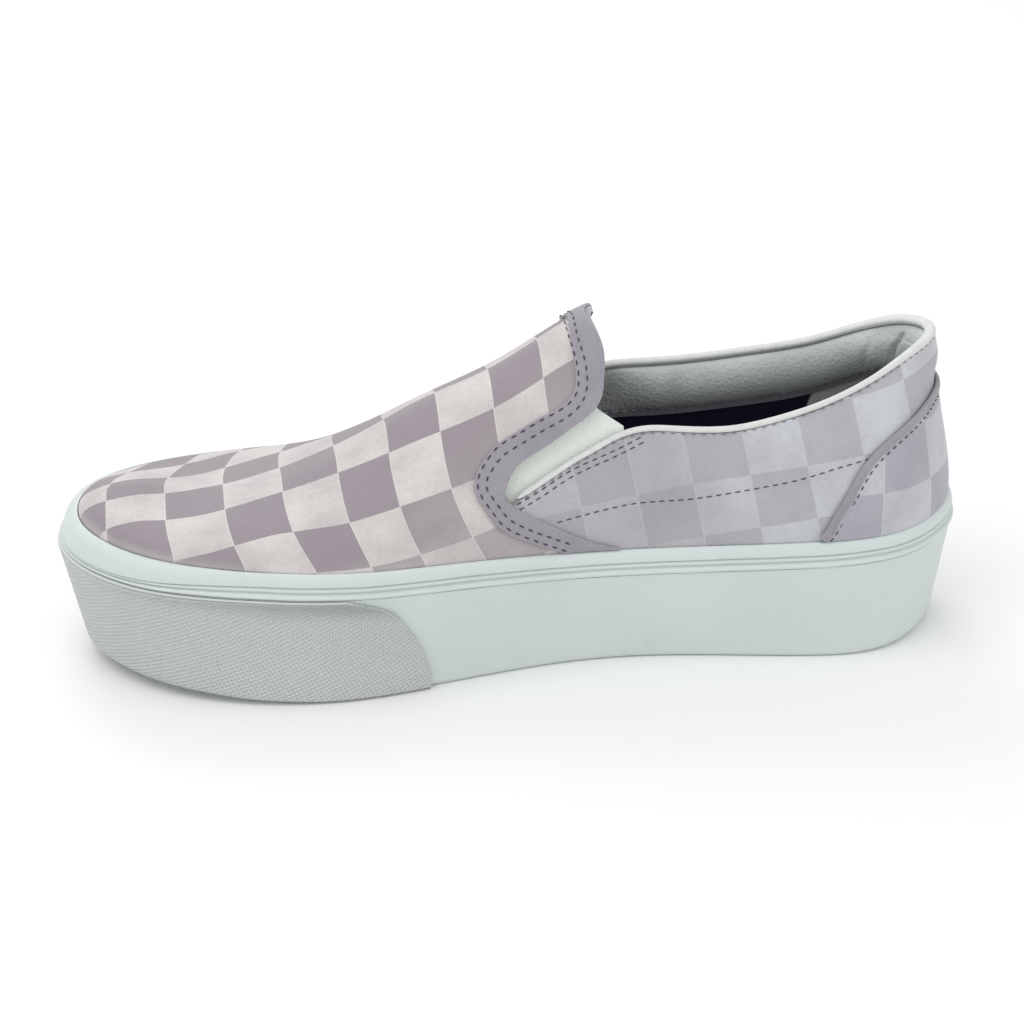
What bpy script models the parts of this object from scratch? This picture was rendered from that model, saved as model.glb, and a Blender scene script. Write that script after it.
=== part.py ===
"""Right slip-on platform sneaker, empty and standing on its sole.

Metres, +X from heel to toe, +Y to the wearer's left (the inner side), +Z up.
Everything follows two shapes: the feather line, where the upper meets the
sole, and the last, the foot form that the upper is stretched over.
"""
import math

import bmesh
import bpy
import numpy as np

# Overall sizes
LENGTH = 0.275          # toe bumper to heel, outside
BALL_WIDTH = 0.097      # feather line width that the outline shares belong to
HEEL_STACK = 0.0424     # floor to feather line at the heel
INSTEP_RISE = 0.065     # feather line to the top of the tab
WALL = 0.0020           # upper, cloth and lining together
CLEARANCE = 0.0003      # between pieces that are stuck or sewn together

# Sole
FOXING_HEIGHT = 0.0080      # tape round the top of the sole
GROOVE_DEPTH = 0.0006       # groove and ridge moulded into the tape
HEEL_LEDGE = 0.0025         # how far the sole stands out past the upper
SIDE_LEDGE = 0.0019
TOE_LEDGE = 0.0050
SIDE_SHOULDER = 0.0036      # drop from the feather line to the widest line
TOE_SHOULDER = 0.0066
HEEL_INSET = 0.0045         # how far the bottom edge lies inside the widest line
SIDE_INSET = 0.0027
TOE_INSET = 0.0080
WAIST_INSET = 0.0011        # extra under the arch
SIDE_CORNER = 0.0015        # rounding of the bottom edge
END_CORNER = 0.0045
WAIST_PLACE = 0.41          # station of the narrowest part of the arch, and its spread
WAIST_SPREAD = 0.12
HEEL_ZONE = 0.15            # stations where the round heel ends and the round toe starts
TOE_ZONE = 0.80
TOE_SPRING = 0.0031
TOE_SPRING_SPAN = (0.70, 0.97)  # stations over which the tread rises
HEEL_LIFT = 0.0005
HEEL_LIFT_END = 0.08
OUTSOLE_THICKNESS = 0.0060
GROOVE_WIDTH = 0.0035       # tread
GROOVE_DEEP = 0.0020
LUG_PITCH = 0.0130
TREAD_MARGIN = 0.0110
TREAD_SPAN = (0.06, 0.93)   # stations of the first and last groove
WAIST_SPAN = (0.34, 0.50)   # plain part of the tread, under the arch
BUMPER_THICKNESS = 0.0015
INSOLE_THICKNESS = 0.0045

# Upper
BINDING_HEIGHT = 0.0016     # rolled edge along the collar
BINDING_LAP = 0.0006        # how far it laps past the wall on each side
BAND_THICKNESS = 0.0008     # edge band of the vamp
COUNTER_THICKNESS = 0.0008
PIPING_THICKNESS = 0.0016
PIPING_WIDTH = 0.0026
GORE_THICKNESS = 0.0010
GORE_LAP = 0.0040           # how far the elastic reaches behind vamp and quarter
PADDING_THICKNESS = 0.0045
PADDING_DEPTH = 0.0180
COLLAR_HALF = 0.0280        # half width at which the two collar rises are read
HEEL_HOLLOW = 0.0018        # how far the back curves in between sole and collar
BLOCK_HALF = 0.0700         # half width of the blocks that cut the patterns, wider than the shoe
GORE_APART = 0.0020         # the two gores are cut this far from the middle

# Resolution
COLUMNS = 32            # from heel to toe on each side
ROWS = 10               # from feather line to ridge
OUTLINE_POINTS = 4001
NORMAL_STEP = 1e-3
SHARP_EDGE = 35         # degrees past which an edge is shaded sharp
MIDSOLE_STEPS = (0.0, 0.35, 0.7, 1.0)
OUTSOLE_STEPS = (0.0, 0.3, 0.6, 0.85, 1.0)
CORNER_TURN = 0.96      # the rounding stops short of level, so that the edge isn't a knife
SHOULDER_TURNS = (25, 50, 75, 90)   # degrees round the shoulder of the foxing
# Flat part of the foxing: share of its height, and how far it stands out in groove depths
FOXING_BEAD = [(0.15, -1), (0.40, -1), (0.60, 1), (0.90, 1), (1.00, 0)]

FEATHER_LENGTH = LENGTH - HEEL_LEDGE - TOE_LEDGE - BUMPER_THICKNESS - CLEARANCE
HEEL_X = -LENGTH / 2 + HEEL_LEDGE

# Feather line: station (share of its length, from the heel),
# inner and outer half widths (shares of the ball width)
OUTLINE = [
    (0.020, 0.168, 0.172),
    (0.080, 0.320, 0.308),
    (0.180, 0.347, 0.352),
    (0.320, 0.308, 0.369),
    (0.460, 0.320, 0.407),
    (0.600, 0.404, 0.468),
    (0.720, 0.472, 0.482),
    (0.840, 0.445, 0.413),
    (0.930, 0.346, 0.308),
    (0.985, 0.180, 0.159),
]
TOE_POINT = 0.027       # tip of the toe, towards the inner side, share of the width

# Height of the feather line: station, share of the heel stack
SOLE_TOP = [(0.0, 1.000), (0.2, 0.925), (0.4, 0.894), (0.6, 0.953), (0.8, 1.024), (1.0, 1.078)]

# Ridge of the last: station, height over the feather line as a share of the instep rise
RIDGE = [
    (0.087, 1.000), (0.169, 1.050), (0.282, 1.080), (0.376, 1.040), (0.429, 0.980),
    (0.489, 0.820), (0.534, 0.697), (0.625, 0.500), (0.696, 0.312), (0.772, 0.202),
    (0.884, 0.147), (0.930, 0.147),
]
HEEL_FAN = RIDGE[0][0]      # the sections fan out from here round the heel
TOE_FAN = RIDGE[-1][0]      # and from here round the toe

# Fullness of each section: station, exponent of the arch on the inner side
# and on the outer side (2 is an ellipse, 1 a straight slope)
FULLNESS = [
    (0.00, 2.20, 2.20),
    (0.12, 2.30, 2.30),
    (0.30, 2.25, 2.25),
    (0.45, 2.05, 2.00),
    (0.60, 1.50, 1.55),
    (0.80, 1.45, 1.45),
    (0.93, 2.20, 1.60),
    (1.00, 2.10, 2.00),
]

# Sideways lean of the ridge: station, share of the ball width
LEAN = [(0.0, 0.0), (0.2, -0.005), (0.45, 0.0), (0.6, 0.0), (0.75, 0.045), (0.9, 0.065), (1.0, 0.020)]

# Edge band of the vamp, from the tab down to the sole. Free edge and seam:
# station and rise of each, the rise as a share of the instep rise
BAND = [
    (0.4400, 1.300, 0.4508, 1.300),
    (0.4290, 1.020, 0.4508, 1.020),
    (0.4177, 0.955, 0.4520, 0.904),
    (0.4169, 0.894, 0.4490, 0.855),
    (0.4166, 0.799, 0.4476, 0.750),
    (0.4222, 0.697, 0.4528, 0.702),
    (0.4335, 0.641, 0.4667, 0.654),
    (0.4559, 0.575, 0.4885, 0.603),
    (0.4840, 0.495, 0.5167, 0.533),
    (0.5072, 0.437, 0.5351, 0.487),
    (0.5225, 0.377, 0.5515, 0.421),
    (0.5291, 0.317, 0.5620, 0.357),
    (0.5306, 0.277, 0.5641, 0.307),
    (0.5249, 0.246, 0.5582, 0.253),
    (0.5146, 0.219, 0.5494, 0.205),
    (0.4974, 0.179, 0.5341, 0.135),
    (0.4690, 0.120, 0.5155, 0.092),
    (0.4343, 0.052, 0.4855, 0.038),
    (0.3997, 0.006, 0.4667, 0.006),
]
GORE_TOP_ROW = 5        # rows of the band table at the top and the foot of the elastic gore
NOTCH_ROW = 12

# Edge of the quarter and collar, from the gore to behind the heel:
# station, rise on the inner side, rise on the outer side
COLLAR = [
    (0.5229, 0.264, 0.264),
    (0.5080, 0.302, 0.302),
    (0.4906, 0.346, 0.346),
    (0.4685, 0.403, 0.400),
    (0.4456, 0.460, 0.450),
    (0.4230, 0.510, 0.500),
    (0.3948, 0.565, 0.537),
    (0.3673, 0.585, 0.557),
    (0.3338, 0.577, 0.560),
    (0.2789, 0.572, 0.567),
    (0.2461, 0.592, 0.577),
    (0.2130, 0.623, 0.589),
    (0.1800, 0.660, 0.602),
    (0.1464, 0.706, 0.622),
    (0.1110, 0.760, 0.664),
    (0.0862, 0.797, 0.704),
    (0.0655, 0.818, 0.742),
    (0.0300, 0.825, 0.800),
    (-0.0400, 0.830, 0.830),
]
GORE_ROWS = 7           # first rows of the collar table, along the gore
PADDING_ROW = 7         # row of the collar table where the padding starts

# Front seam of the heel counter: station, rise
COUNTER = [
    (-0.0400, 0.630),
    (0.0100, 0.625),
    (0.0335, 0.610),
    (0.0388, 0.560),
    (0.0613, 0.530),
    (0.0873, 0.490),
    (0.1114, 0.435),
    (0.1283, 0.372),
    (0.1389, 0.305),
    (0.1494, 0.218),
    (0.1596, 0.140),
    (0.1697, 0.058),
    (0.1800, 0.006),
]

# Rounded end of the toe bumper: station, share of the way from foxing to floor
PAST_TOE = 1.1              # station that is clear of the toe
BEHIND_HEEL = -0.06         # and one that is clear of the heel
ABOVE = 1.6                 # rise that is clear of the shoe
BUMPER_END = [
    (0.7128, 0.00),
    (0.6858, 0.06),
    (0.6635, 0.14),
    (0.6492, 0.27),
    (0.6360, 0.44),
    (0.6248, 0.64),
    (0.6187, 0.82),
    (0.6150, 1.10),
]


class Curve:
    """Smooth curve through the rows of a table (natural cubic spline)."""

    def __init__(self, at, values, closed=False):
        self.at = np.asarray(at, float)
        self.values = np.asarray(values, float)
        count = len(self.at)
        gap = np.diff(self.at)
        slope = np.diff(self.values, axis=0) / (gap if self.values.ndim == 1 else gap[:, None])
        matrix = np.eye(count)
        right = np.zeros_like(self.values)
        for k in range(1, count - 1):
            matrix[k, k - 1:k + 2] = gap[k - 1], 2 * (gap[k - 1] + gap[k]), gap[k]
            right[k] = 6 * (slope[k] - slope[k - 1])
        if closed:
            matrix[0, 0] = 2 * (gap[0] + gap[-1])
            matrix[0, 1] = gap[0]
            matrix[0, -2] = gap[-1]
            right[0] = 6 * (slope[0] - slope[-1])
            matrix[-1, 0] = -1
        self.bend = np.linalg.solve(matrix, right)

    def __call__(self, at):
        at = np.asarray(at, float)
        k = np.clip(np.searchsorted(self.at, at, side="right") - 1, 0, len(self.at) - 2)
        gap = self.at[k + 1] - self.at[k]
        after = at - self.at[k]
        before = self.at[k + 1] - at
        if self.values.ndim > 1:
            gap, after, before = gap[..., None], after[..., None], before[..., None]
        cubic = (self.bend[k] * before ** 3 + self.bend[k + 1] * after ** 3) / (6 * gap)
        start = self.values[k] / gap - self.bend[k] * gap / 6
        end = self.values[k + 1] / gap - self.bend[k + 1] * gap / 6
        return cubic + start * before + end * after


def table_curve(rows):
    """Curve of a table's second column against its first."""
    return Curve([row[0] for row in rows], [row[1] for row in rows])


def blend(start, end, at):
    """Soft step from 0 at start to 1 at end."""
    share = np.clip((np.asarray(at, float) - start) / (end - start), 0, 1)
    return share * share * (3 - 2 * share)


def outline_sides():
    """Half widths of the feather line on both sides, against the fan angle (0 heel, 1 toe)."""
    inner = [(row[0] * FEATHER_LENGTH, row[1] * BALL_WIDTH) for row in OUTLINE]
    outer = [(row[0] * FEATHER_LENGTH, -row[2] * BALL_WIDTH) for row in reversed(OUTLINE)]
    heel = (0.0, 0.0)
    toe = (FEATHER_LENGTH, TOE_POINT * BALL_WIDTH)
    points = np.array([heel] + inner + [toe] + outer + [heel])
    steps = np.sqrt(np.linalg.norm(np.diff(points, axis=0), axis=1))
    along = np.concatenate([[0], np.cumsum(steps)])
    dense = Curve(along, points, closed=True)(np.linspace(0, along[-1], OUTLINE_POINTS))[:-1]
    dense = np.roll(dense, -int(np.argmin(dense[:, 0])), axis=0)
    tip = int(np.argmax(dense[:, 0]))
    share = (dense[:, 0] - dense[0, 0]) / (dense[tip, 0] - dense[0, 0])
    angle = np.arccos(np.clip(1 - 2 * share, -1, 1)) / math.pi
    inner_side = angle[:tip + 1], dense[:tip + 1, 1]
    outer_angle = np.concatenate([angle[tip:], [0]])[::-1]
    outer_width = np.concatenate([dense[tip:, 1], dense[:1, 1]])[::-1]
    return inner_side, (outer_angle, outer_width)


INNER_SIDE, OUTER_SIDE = outline_sides()
sole_top = table_curve(SOLE_TOP)
ridge = table_curve(RIDGE)
inner_fullness = table_curve(FULLNESS)
outer_fullness = table_curve([(row[0], row[2]) for row in FULLNESS])
lean = table_curve(LEAN)


def station_of(angle):
    return (1 - np.cos(math.pi * np.asarray(angle, float))) / 2


def feather(side, angle):
    """Point of the feather line; side is 1 for the inner side and -1 for the outer."""
    station = station_of(angle)
    inner = np.interp(angle, *INNER_SIDE)
    outer = np.interp(angle, *OUTER_SIDE)
    y = np.where(side > 0, inner, outer)
    z = sole_top(station) * HEEL_STACK
    return np.stack(np.broadcast_arrays(HEEL_X + station * FEATHER_LENGTH, y, z), -1)


def last_point(side, angle, climb):
    """Point of the last; climb runs from 0 at the feather line to 1 at the ridge."""
    foot = feather(side, angle)
    station = station_of(angle)
    top_station = HEEL_FAN + station * (TOE_FAN - HEEL_FAN)
    top_x = HEEL_X + top_station * FEATHER_LENGTH
    top_y = lean(station) * BALL_WIDTH
    top_z = sole_top(top_station) * HEEL_STACK + ridge(top_station) * INSTEP_RISE
    power = np.where(np.asarray(side) > 0, inner_fullness(station), outer_fullness(station))
    turn = np.asarray(climb, float) * math.pi / 2
    level, rise = np.abs(np.cos(turn)), np.abs(np.sin(turn))
    reach = (level ** power + rise ** power) ** (-1 / power)
    level, rise = level * reach, rise * reach
    hollow = HEEL_HOLLOW * np.sin(math.pi * rise) ** 2 * (1 - blend(0.0, HEEL_ZONE, station))
    x = top_x + (foot[..., 0] - top_x) * level + hollow
    y = top_y + (foot[..., 1] - top_y) * level
    z = foot[..., 2] + (top_z - foot[..., 2]) * rise
    return np.stack(np.broadcast_arrays(x, y, z), -1)


def last_normal(side, angle, climb):
    """Outward normal of the last."""
    step = NORMAL_STEP
    angle, climb, side = np.broadcast_arrays(np.asarray(angle, float), climb, side)
    along = last_point(side, np.clip(angle + step, 0, 1), climb)
    along = along - last_point(side, np.clip(angle - step, 0, 1), climb)
    up = last_point(side, angle, np.clip(climb + step, 0, 1))
    up = up - last_point(side, angle, np.clip(climb - step, 0, 1))
    normal = np.cross(up, along) * np.asarray(side)[..., None]
    return normal / np.linalg.norm(normal, axis=-1, keepdims=True)


def loop_columns():
    """Side and angle of the columns: up the inner side to the toe, back along the outer side."""
    angles = np.arange(COLUMNS + 1) / COLUMNS
    sides = np.concatenate([np.ones(COLUMNS + 1), -np.ones(COLUMNS - 1)])
    return sides, np.concatenate([angles, angles[-2:0:-1]])


SIDES, ANGLES = loop_columns()
STATIONS = station_of(ANGLES)
FEATHER = feather(SIDES, ANGLES)
PLAN_NORMAL = last_normal(SIDES, ANGLES, np.zeros_like(ANGLES)) * (1, 1, 0)
PLAN_NORMAL /= np.linalg.norm(PLAN_NORMAL, axis=-1, keepdims=True)


def make_object(name, points, faces, colour, roughness):
    """Mesh object with outward faces and its own material."""
    shape = bmesh.new()
    corners = [shape.verts.new(point) for point in points]
    for face in faces:
        shape.faces.new([corners[k] for k in face])
    bmesh.ops.recalc_face_normals(shape, faces=shape.faces)
    mesh = bpy.data.meshes.new(name)
    shape.to_mesh(mesh)
    shape.free()
    mesh.shade_smooth()
    mesh.set_sharp_from_angle(angle=math.radians(SHARP_EDGE))
    piece = bpy.data.objects.new(name, mesh)
    bpy.context.scene.collection.objects.link(piece)
    material = bpy.data.materials.new(name)
    material.use_nodes = True
    surface = material.node_tree.nodes["Principled BSDF"]
    surface.inputs["Base Color"].default_value = (*colour, 1)
    surface.inputs["Roughness"].default_value = roughness
    mesh.materials.append(material)
    return piece


def ring_faces(row_a, row_b, count):
    """Triangles between two closed rows, all with the same diagonal so that offsets nest."""
    faces = []
    for k in range(count):
        n = (k + 1) % count
        faces.append((row_a + k, row_a + n, row_b + n))
        faces.append((row_a + k, row_b + n, row_b + k))
    return faces


def bridge_faces(first):
    """Face across a closed row, as strips from the inner to the outer side."""
    count = 2 * COLUMNS
    faces = [(first, first + 1, first + count - 1)]
    for k in range(1, COLUMNS - 1):
        faces.append((first + k, first + k + 1, first + count - k - 1, first + count - k))
    faces.append((first + COLUMNS - 1, first + COLUMNS, first + COLUMNS + 1))
    return faces


def loft(name, rows, colour, roughness, tube=False):
    """Solid through closed rows of points: with two flat ends, or joined into a tube."""
    count = 2 * COLUMNS
    faces = []
    for k in range(len(rows) - 1):
        faces += ring_faces(k * count, (k + 1) * count, count)
    if tube:
        faces += ring_faces((len(rows) - 1) * count, 0, count)
    else:
        faces += bridge_faces(0) + bridge_faces((len(rows) - 1) * count)
    return make_object(name, np.concatenate(rows), faces, colour, roughness)


def last_dome(offset, skirt):
    """Rows of the last moved out by an offset, and its ridge; the skirt hangs below the feather."""
    rows = []
    if skirt:
        rows.append(FEATHER + PLAN_NORMAL * offset - np.array((0, 0, skirt)))
    for climb in np.arange(ROWS) / ROWS:
        normal = last_normal(SIDES, ANGLES, np.full_like(ANGLES, climb)) if climb else PLAN_NORMAL
        rows.append(last_point(SIDES, ANGLES, climb) + normal * offset)
    angles = ANGLES[:COLUMNS + 1]
    open_fan = np.clip(angles, 1 / COLUMNS, 1 - 1 / COLUMNS)
    both = last_normal(1, open_fan, 1.0) + last_normal(-1, open_fan, 1.0)
    both /= np.linalg.norm(both, axis=-1, keepdims=True)
    return rows, last_point(1, angles, 1.0) + both * offset


def last_shell(name, outside, inside, colour, roughness, skirt=0.0):
    """Closed shell between two offsets of the last, open underneath."""
    count = 2 * COLUMNS
    points = []
    faces = []
    starts = []
    for offset in (outside, inside):
        rows, top = last_dome(offset, skirt)
        start = sum(len(part) for part in points)
        starts.append(start)
        points += rows + [top]
        for k in range(len(rows) - 1):
            faces += ring_faces(start + k * count, start + (k + 1) * count, count)
        under = start + (len(rows) - 1) * count
        peak = start + len(rows) * count
        for k in range(COLUMNS):
            left = under + (count - k) % count
            right = under + (count - k - 1) % count
            faces.append((under + k, under + k + 1, peak + k + 1))
            faces.append((under + k, peak + k + 1, peak + k))
            faces.append((left, peak + k, right))
            faces.append((right, peak + k, peak + k + 1))
    faces += ring_faces(starts[0], starts[1], count)
    return make_object(name, np.concatenate(points), faces, colour, roughness)


def pattern(station, rise):
    """Side view place (x, z) of a pattern point."""
    x = HEEL_X + station * FEATHER_LENGTH
    return x, sole_top(min(max(station, 0), 1)) * HEEL_STACK + rise * INSTEP_RISE


def pattern_block(name, rows, y_inner, y_outer):
    """Cutter: a side view outline run across the shoe.

    Each row is station, inner rise and outer rise; the rises hold at the collar's
    half width, and the block is ruled straight between and past them.
    """
    points = []
    for y in (y_inner, y_outer):
        share = (y / COLLAR_HALF + 1) / 2
        for station, inner, outer in rows:
            x, z = pattern(station, outer + (inner - outer) * share)
            points.append((x, y, z))
    count = len(rows)
    faces = [tuple(range(count)), tuple(range(2 * count - 1, count - 1, -1))]
    shape = bmesh.new()
    corners = [shape.verts.new(point) for point in points]
    for face in faces:
        shape.faces.new([corners[k] for k in face])
    for k in range(count):
        n = (k + 1) % count
        # The diagonal always starts at the front end, so that neighbours share one ruled face
        fore, aft = (k, n) if rows[k][0] > rows[n][0] else (n, k)
        shape.faces.new((corners[fore], corners[aft], corners[count + aft]))
        shape.faces.new((corners[fore], corners[count + aft], corners[count + fore]))
    bmesh.ops.recalc_face_normals(shape, faces=shape.faces)
    mesh = bpy.data.meshes.new(name)
    shape.to_mesh(mesh)
    shape.free()
    block = bpy.data.objects.new(name, mesh)
    bpy.context.scene.collection.objects.link(block)
    block.hide_render = True
    block.display_type = "WIRE"
    return block


def cut(piece, tool, operation):
    modifier = piece.modifiers.new(tool.name, "BOOLEAN")
    modifier.operation = operation
    modifier.solver = "EXACT"
    modifier.object = tool


def lowered(rows, depth):
    """Collar rows moved down by a length."""
    drop = depth / INSTEP_RISE
    return [(station, inner - drop, outer - drop) for station, inner, outer in rows]


def ledge(station):
    """How far the sole stands out past the feather line."""
    heel = (HEEL_LEDGE - SIDE_LEDGE) * (1 - blend(0.0, HEEL_ZONE, station))
    toe = (TOE_LEDGE - SIDE_LEDGE) * blend(TOE_ZONE, 1.0, station)
    return SIDE_LEDGE + heel + toe


def shoulder(station):
    return SIDE_SHOULDER + (TOE_SHOULDER - SIDE_SHOULDER) * blend(TOE_ZONE, 1.0, station)


def bottom_height(station):
    """Toe spring and heel lift of the tread."""
    toe = TOE_SPRING * blend(*TOE_SPRING_SPAN, station)
    return toe + HEEL_LIFT * (1 - blend(0.0, HEEL_LIFT_END, station))


def sole_wall(share, outward=0.0):
    """Row of the sole's side; share is 0 under the foxing and 1 at the bottom edge."""
    share = np.broadcast_to(share, STATIONS.shape)
    heel = 1 - blend(0.0, HEEL_ZONE, STATIONS)
    toe = blend(TOE_ZONE, 1.0, STATIONS)
    waist = np.exp(-((STATIONS - WAIST_PLACE) / WAIST_SPREAD) ** 2) * (SIDES > 0)
    inset = SIDE_INSET + (HEEL_INSET - SIDE_INSET) * heel + (TOE_INSET - SIDE_INSET) * toe
    inset = inset + WAIST_INSET * waist
    top = FEATHER[:, 2] - FOXING_HEIGHT
    bottom = bottom_height(STATIONS)
    corner = SIDE_CORNER + (END_CORNER - SIDE_CORNER) * (heel + toe)
    height = top + (bottom - top) * share
    into = np.clip(1 - (height - bottom) / corner, 0, 1)
    rounding = corner * (1 - np.sqrt(1 - CORNER_TURN * into ** 2))
    reach = ledge(STATIONS) - inset * share - rounding + outward
    row = FEATHER + PLAN_NORMAL * reach[:, None]
    row[:, 2] = height
    return row


def wall_share(height_over_bottom):
    """Share of the sole's side at a height over the tread."""
    top = FEATHER[:, 2] - FOXING_HEIGHT
    return 1 - height_over_bottom / (top - bottom_height(STATIONS))


def midsole_side(outward=0.0):
    """Rows of the platform's side."""
    first = CLEARANCE / (FEATHER[:, 2] - FOXING_HEIGHT - bottom_height(STATIONS))
    last = wall_share(OUTSOLE_THICKNESS + CLEARANCE)
    return [sole_wall(first + (last - first) * step, outward) for step in MIDSOLE_STEPS]


def outsole_side(outward=0.0):
    """Rows of the tread's side."""
    first = wall_share(OUTSOLE_THICKNESS)
    return [sole_wall(first + (1 - first) * step, outward) for step in OUTSOLE_STEPS]


def midsole():
    """Platform, from the seat of the upper down to the outsole."""
    seat = FEATHER - PLAN_NORMAL * (WALL + CLEARANCE)
    side = midsole_side()
    seat[:, 2] = side[0][:, 2]
    under = FEATHER - PLAN_NORMAL * WALL
    under[:, 2] = side[-1][:, 2]
    return loft("midsole", [seat] + side + [under], (0.86, 0.88, 0.86), 0.5)


def tread_blocks():
    """Cutter: the grooves between the lugs, one flat box for each."""
    shape = bmesh.new()
    first, last = TREAD_SPAN
    count = int((last - first) * FEATHER_LENGTH / LUG_PITCH) + 1
    for k in range(count):
        station = first + k * LUG_PITCH / FEATHER_LENGTH
        if WAIST_SPAN[0] < station < WAIST_SPAN[1]:
            continue
        angle = math.acos(1 - 2 * station) / math.pi
        inner = float(np.interp(angle, *INNER_SIDE)) - TREAD_MARGIN
        outer = float(np.interp(angle, *OUTER_SIDE)) + TREAD_MARGIN
        place = (HEEL_X + station * FEATHER_LENGTH, (inner + outer) / 2, float(bottom_height(station)))
        box = bmesh.ops.create_cube(shape, size=1)["verts"]
        bmesh.ops.scale(shape, vec=(GROOVE_WIDTH, inner - outer, 2 * GROOVE_DEEP), verts=box)
        bmesh.ops.translate(shape, vec=place, verts=box)
    mesh = bpy.data.meshes.new("tread_grooves")
    shape.to_mesh(mesh)
    shape.free()
    block = bpy.data.objects.new("tread_grooves", mesh)
    bpy.context.scene.collection.objects.link(block)
    block.hide_render = True
    block.display_type = "WIRE"
    return block


def outsole():
    """Tread, with cross lugs under heel and forefoot and a plain waist."""
    side = outsole_side()
    top = FEATHER - PLAN_NORMAL * WALL
    top[:, 2] = side[0][:, 2]
    piece = loft("outsole", [top] + side, (0.80, 0.83, 0.80), 0.6)
    cut(piece, tread_blocks(), "DIFFERENCE")
    return piece


def foxing():
    """Tape round the sole's top edge, with a groove and a lower ridge."""
    width = ledge(STATIONS)
    drop = shoulder(STATIONS)
    section = []
    for turn in SHOULDER_TURNS:
        level = math.sin(math.radians(turn))
        fall = 1 - math.cos(math.radians(turn))
        section.append((CLEARANCE + (width - CLEARANCE) * level, drop * fall))
    left = FOXING_HEIGHT - drop
    for share, out in FOXING_BEAD:
        section.append((width + GROOVE_DEPTH * out, drop + share * left))
    section.append((np.full_like(width, CLEARANCE), drop + left))
    section.insert(0, (np.full_like(width, CLEARANCE), 0 * drop))
    rows = []
    for reach, fall in section:
        row = FEATHER + PLAN_NORMAL * reach[:, None]
        row[:, 2] -= fall
        rows.append(row)
    return loft("foxing", rows, (0.88, 0.90, 0.88), 0.45, tube=True)


def toe_bumper():
    """Cap round the front of the sole, its ends rounded down to the tread."""
    inside = midsole_side(CLEARANCE) + outsole_side(CLEARANCE)[:-1]
    outward = CLEARANCE + BUMPER_THICKNESS
    outside = midsole_side(outward) + outsole_side(outward)[:-1]
    piece = loft("toe_bumper", inside + outside[::-1], (0.84, 0.86, 0.84), 0.55, tube=True)
    rows = []
    for station, share in BUMPER_END:
        stack = sole_top(station) * HEEL_STACK - FOXING_HEIGHT
        rise = -(FOXING_HEIGHT + stack * share) / INSTEP_RISE
        rows.append((station, rise, rise))
    low = rows[-1][1]
    front = [(PAST_TOE, low, low), (PAST_TOE, 0.0, 0.0), (rows[0][0], 0.0, 0.0)]
    cut(piece, pattern_block("bumper_outline", rows + front, BLOCK_HALF, -BLOCK_HALF), "INTERSECT")
    return piece


def insole():
    """Cushioned footbed inside the upper."""
    rows = []
    for height in (0.0, INSOLE_THICKNESS):
        row = FEATHER - PLAN_NORMAL * (WALL + CLEARANCE)
        row[:, 2] += height - FOXING_HEIGHT
        rows.append(row)
    return loft("insole", rows, (0.10, 0.07, 0.16), 0.9)


def upper():
    """Vamp and quarters, one hollow wall on the last, open at collar, gores and sole."""
    piece = last_shell("upper", 0.0, -WALL, (0.62, 0.58, 0.66), 0.7, skirt=FOXING_HEIGHT)
    throat = [(row[0], row[1], row[1]) for row in BAND[:NOTCH_ROW + 1]]
    edge = lowered(COLLAR, BINDING_HEIGHT + CLEARANCE)
    above = [(COLLAR[-1][0], ABOVE, ABOVE), (BAND[0][0], ABOVE, ABOVE)]
    block = pattern_block("upper_opening", throat + edge + above, BLOCK_HALF, -BLOCK_HALF)
    cut(piece, block, "DIFFERENCE")
    return piece


def collar_binding():
    """Rolled edge along both gores and round the collar."""
    piece = last_shell("collar_binding", BINDING_LAP, -WALL - BINDING_LAP, (0.88, 0.88, 0.88), 0.6)
    start = tuple((a + b) / 2 for a, b in zip(COLLAR[0], COLLAR[1]))
    rows = [start] + COLLAR[1:]
    under = lowered(rows, BINDING_HEIGHT)
    block = pattern_block("binding_strip", rows + under[::-1], BLOCK_HALF, -BLOCK_HALF)
    cut(piece, block, "INTERSECT")
    return piece


def collar_padding():
    """Soft roll inside the collar, round the heel."""
    outside = -WALL - CLEARANCE
    piece = last_shell("collar_padding", outside, outside - PADDING_THICKNESS, (0.72, 0.76, 0.72), 0.8)
    top = lowered(COLLAR[PADDING_ROW:], BINDING_HEIGHT + 2 * CLEARANCE)
    under = lowered(top, PADDING_DEPTH)
    block = pattern_block("padding_strip", top + under[::-1], BLOCK_HALF, -BLOCK_HALF)
    cut(piece, block, "INTERSECT")
    return piece


def vamp_band():
    """Plain band along the throat of the vamp, over the tab from sole to sole."""
    outside = CLEARANCE + BAND_THICKNESS
    piece = last_shell("vamp_band", outside, CLEARANCE, (0.60, 0.56, 0.64), 0.7)
    edge = [(row[0], row[1], row[1]) for row in BAND]
    seam = [(row[2], row[3], row[3]) for row in BAND]
    block = pattern_block("band_strip", edge + seam[::-1], BLOCK_HALF, -BLOCK_HALF)
    cut(piece, block, "INTERSECT")
    return piece


def gore(name, near, far):
    """Elastic panel behind the slot between vamp and quarter, on one side."""
    outside = -WALL - BINDING_LAP - CLEARANCE
    piece = last_shell(name, outside, outside - GORE_THICKNESS, (0.78, 0.84, 0.80), 0.8)
    lap = GORE_LAP / FEATHER_LENGTH
    front = [(row[0] + lap, row[1], row[1]) for row in BAND[GORE_TOP_ROW:NOTCH_ROW + 1]]
    low = lowered(COLLAR[:GORE_ROWS], GORE_LAP)
    low[0] = (front[-1][0], low[0][1], low[0][2])
    last = COLLAR[GORE_ROWS - 1]
    cut(piece, pattern_block(name + "_outline", front + low + [last], near, far), "INTERSECT")
    return piece


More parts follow.
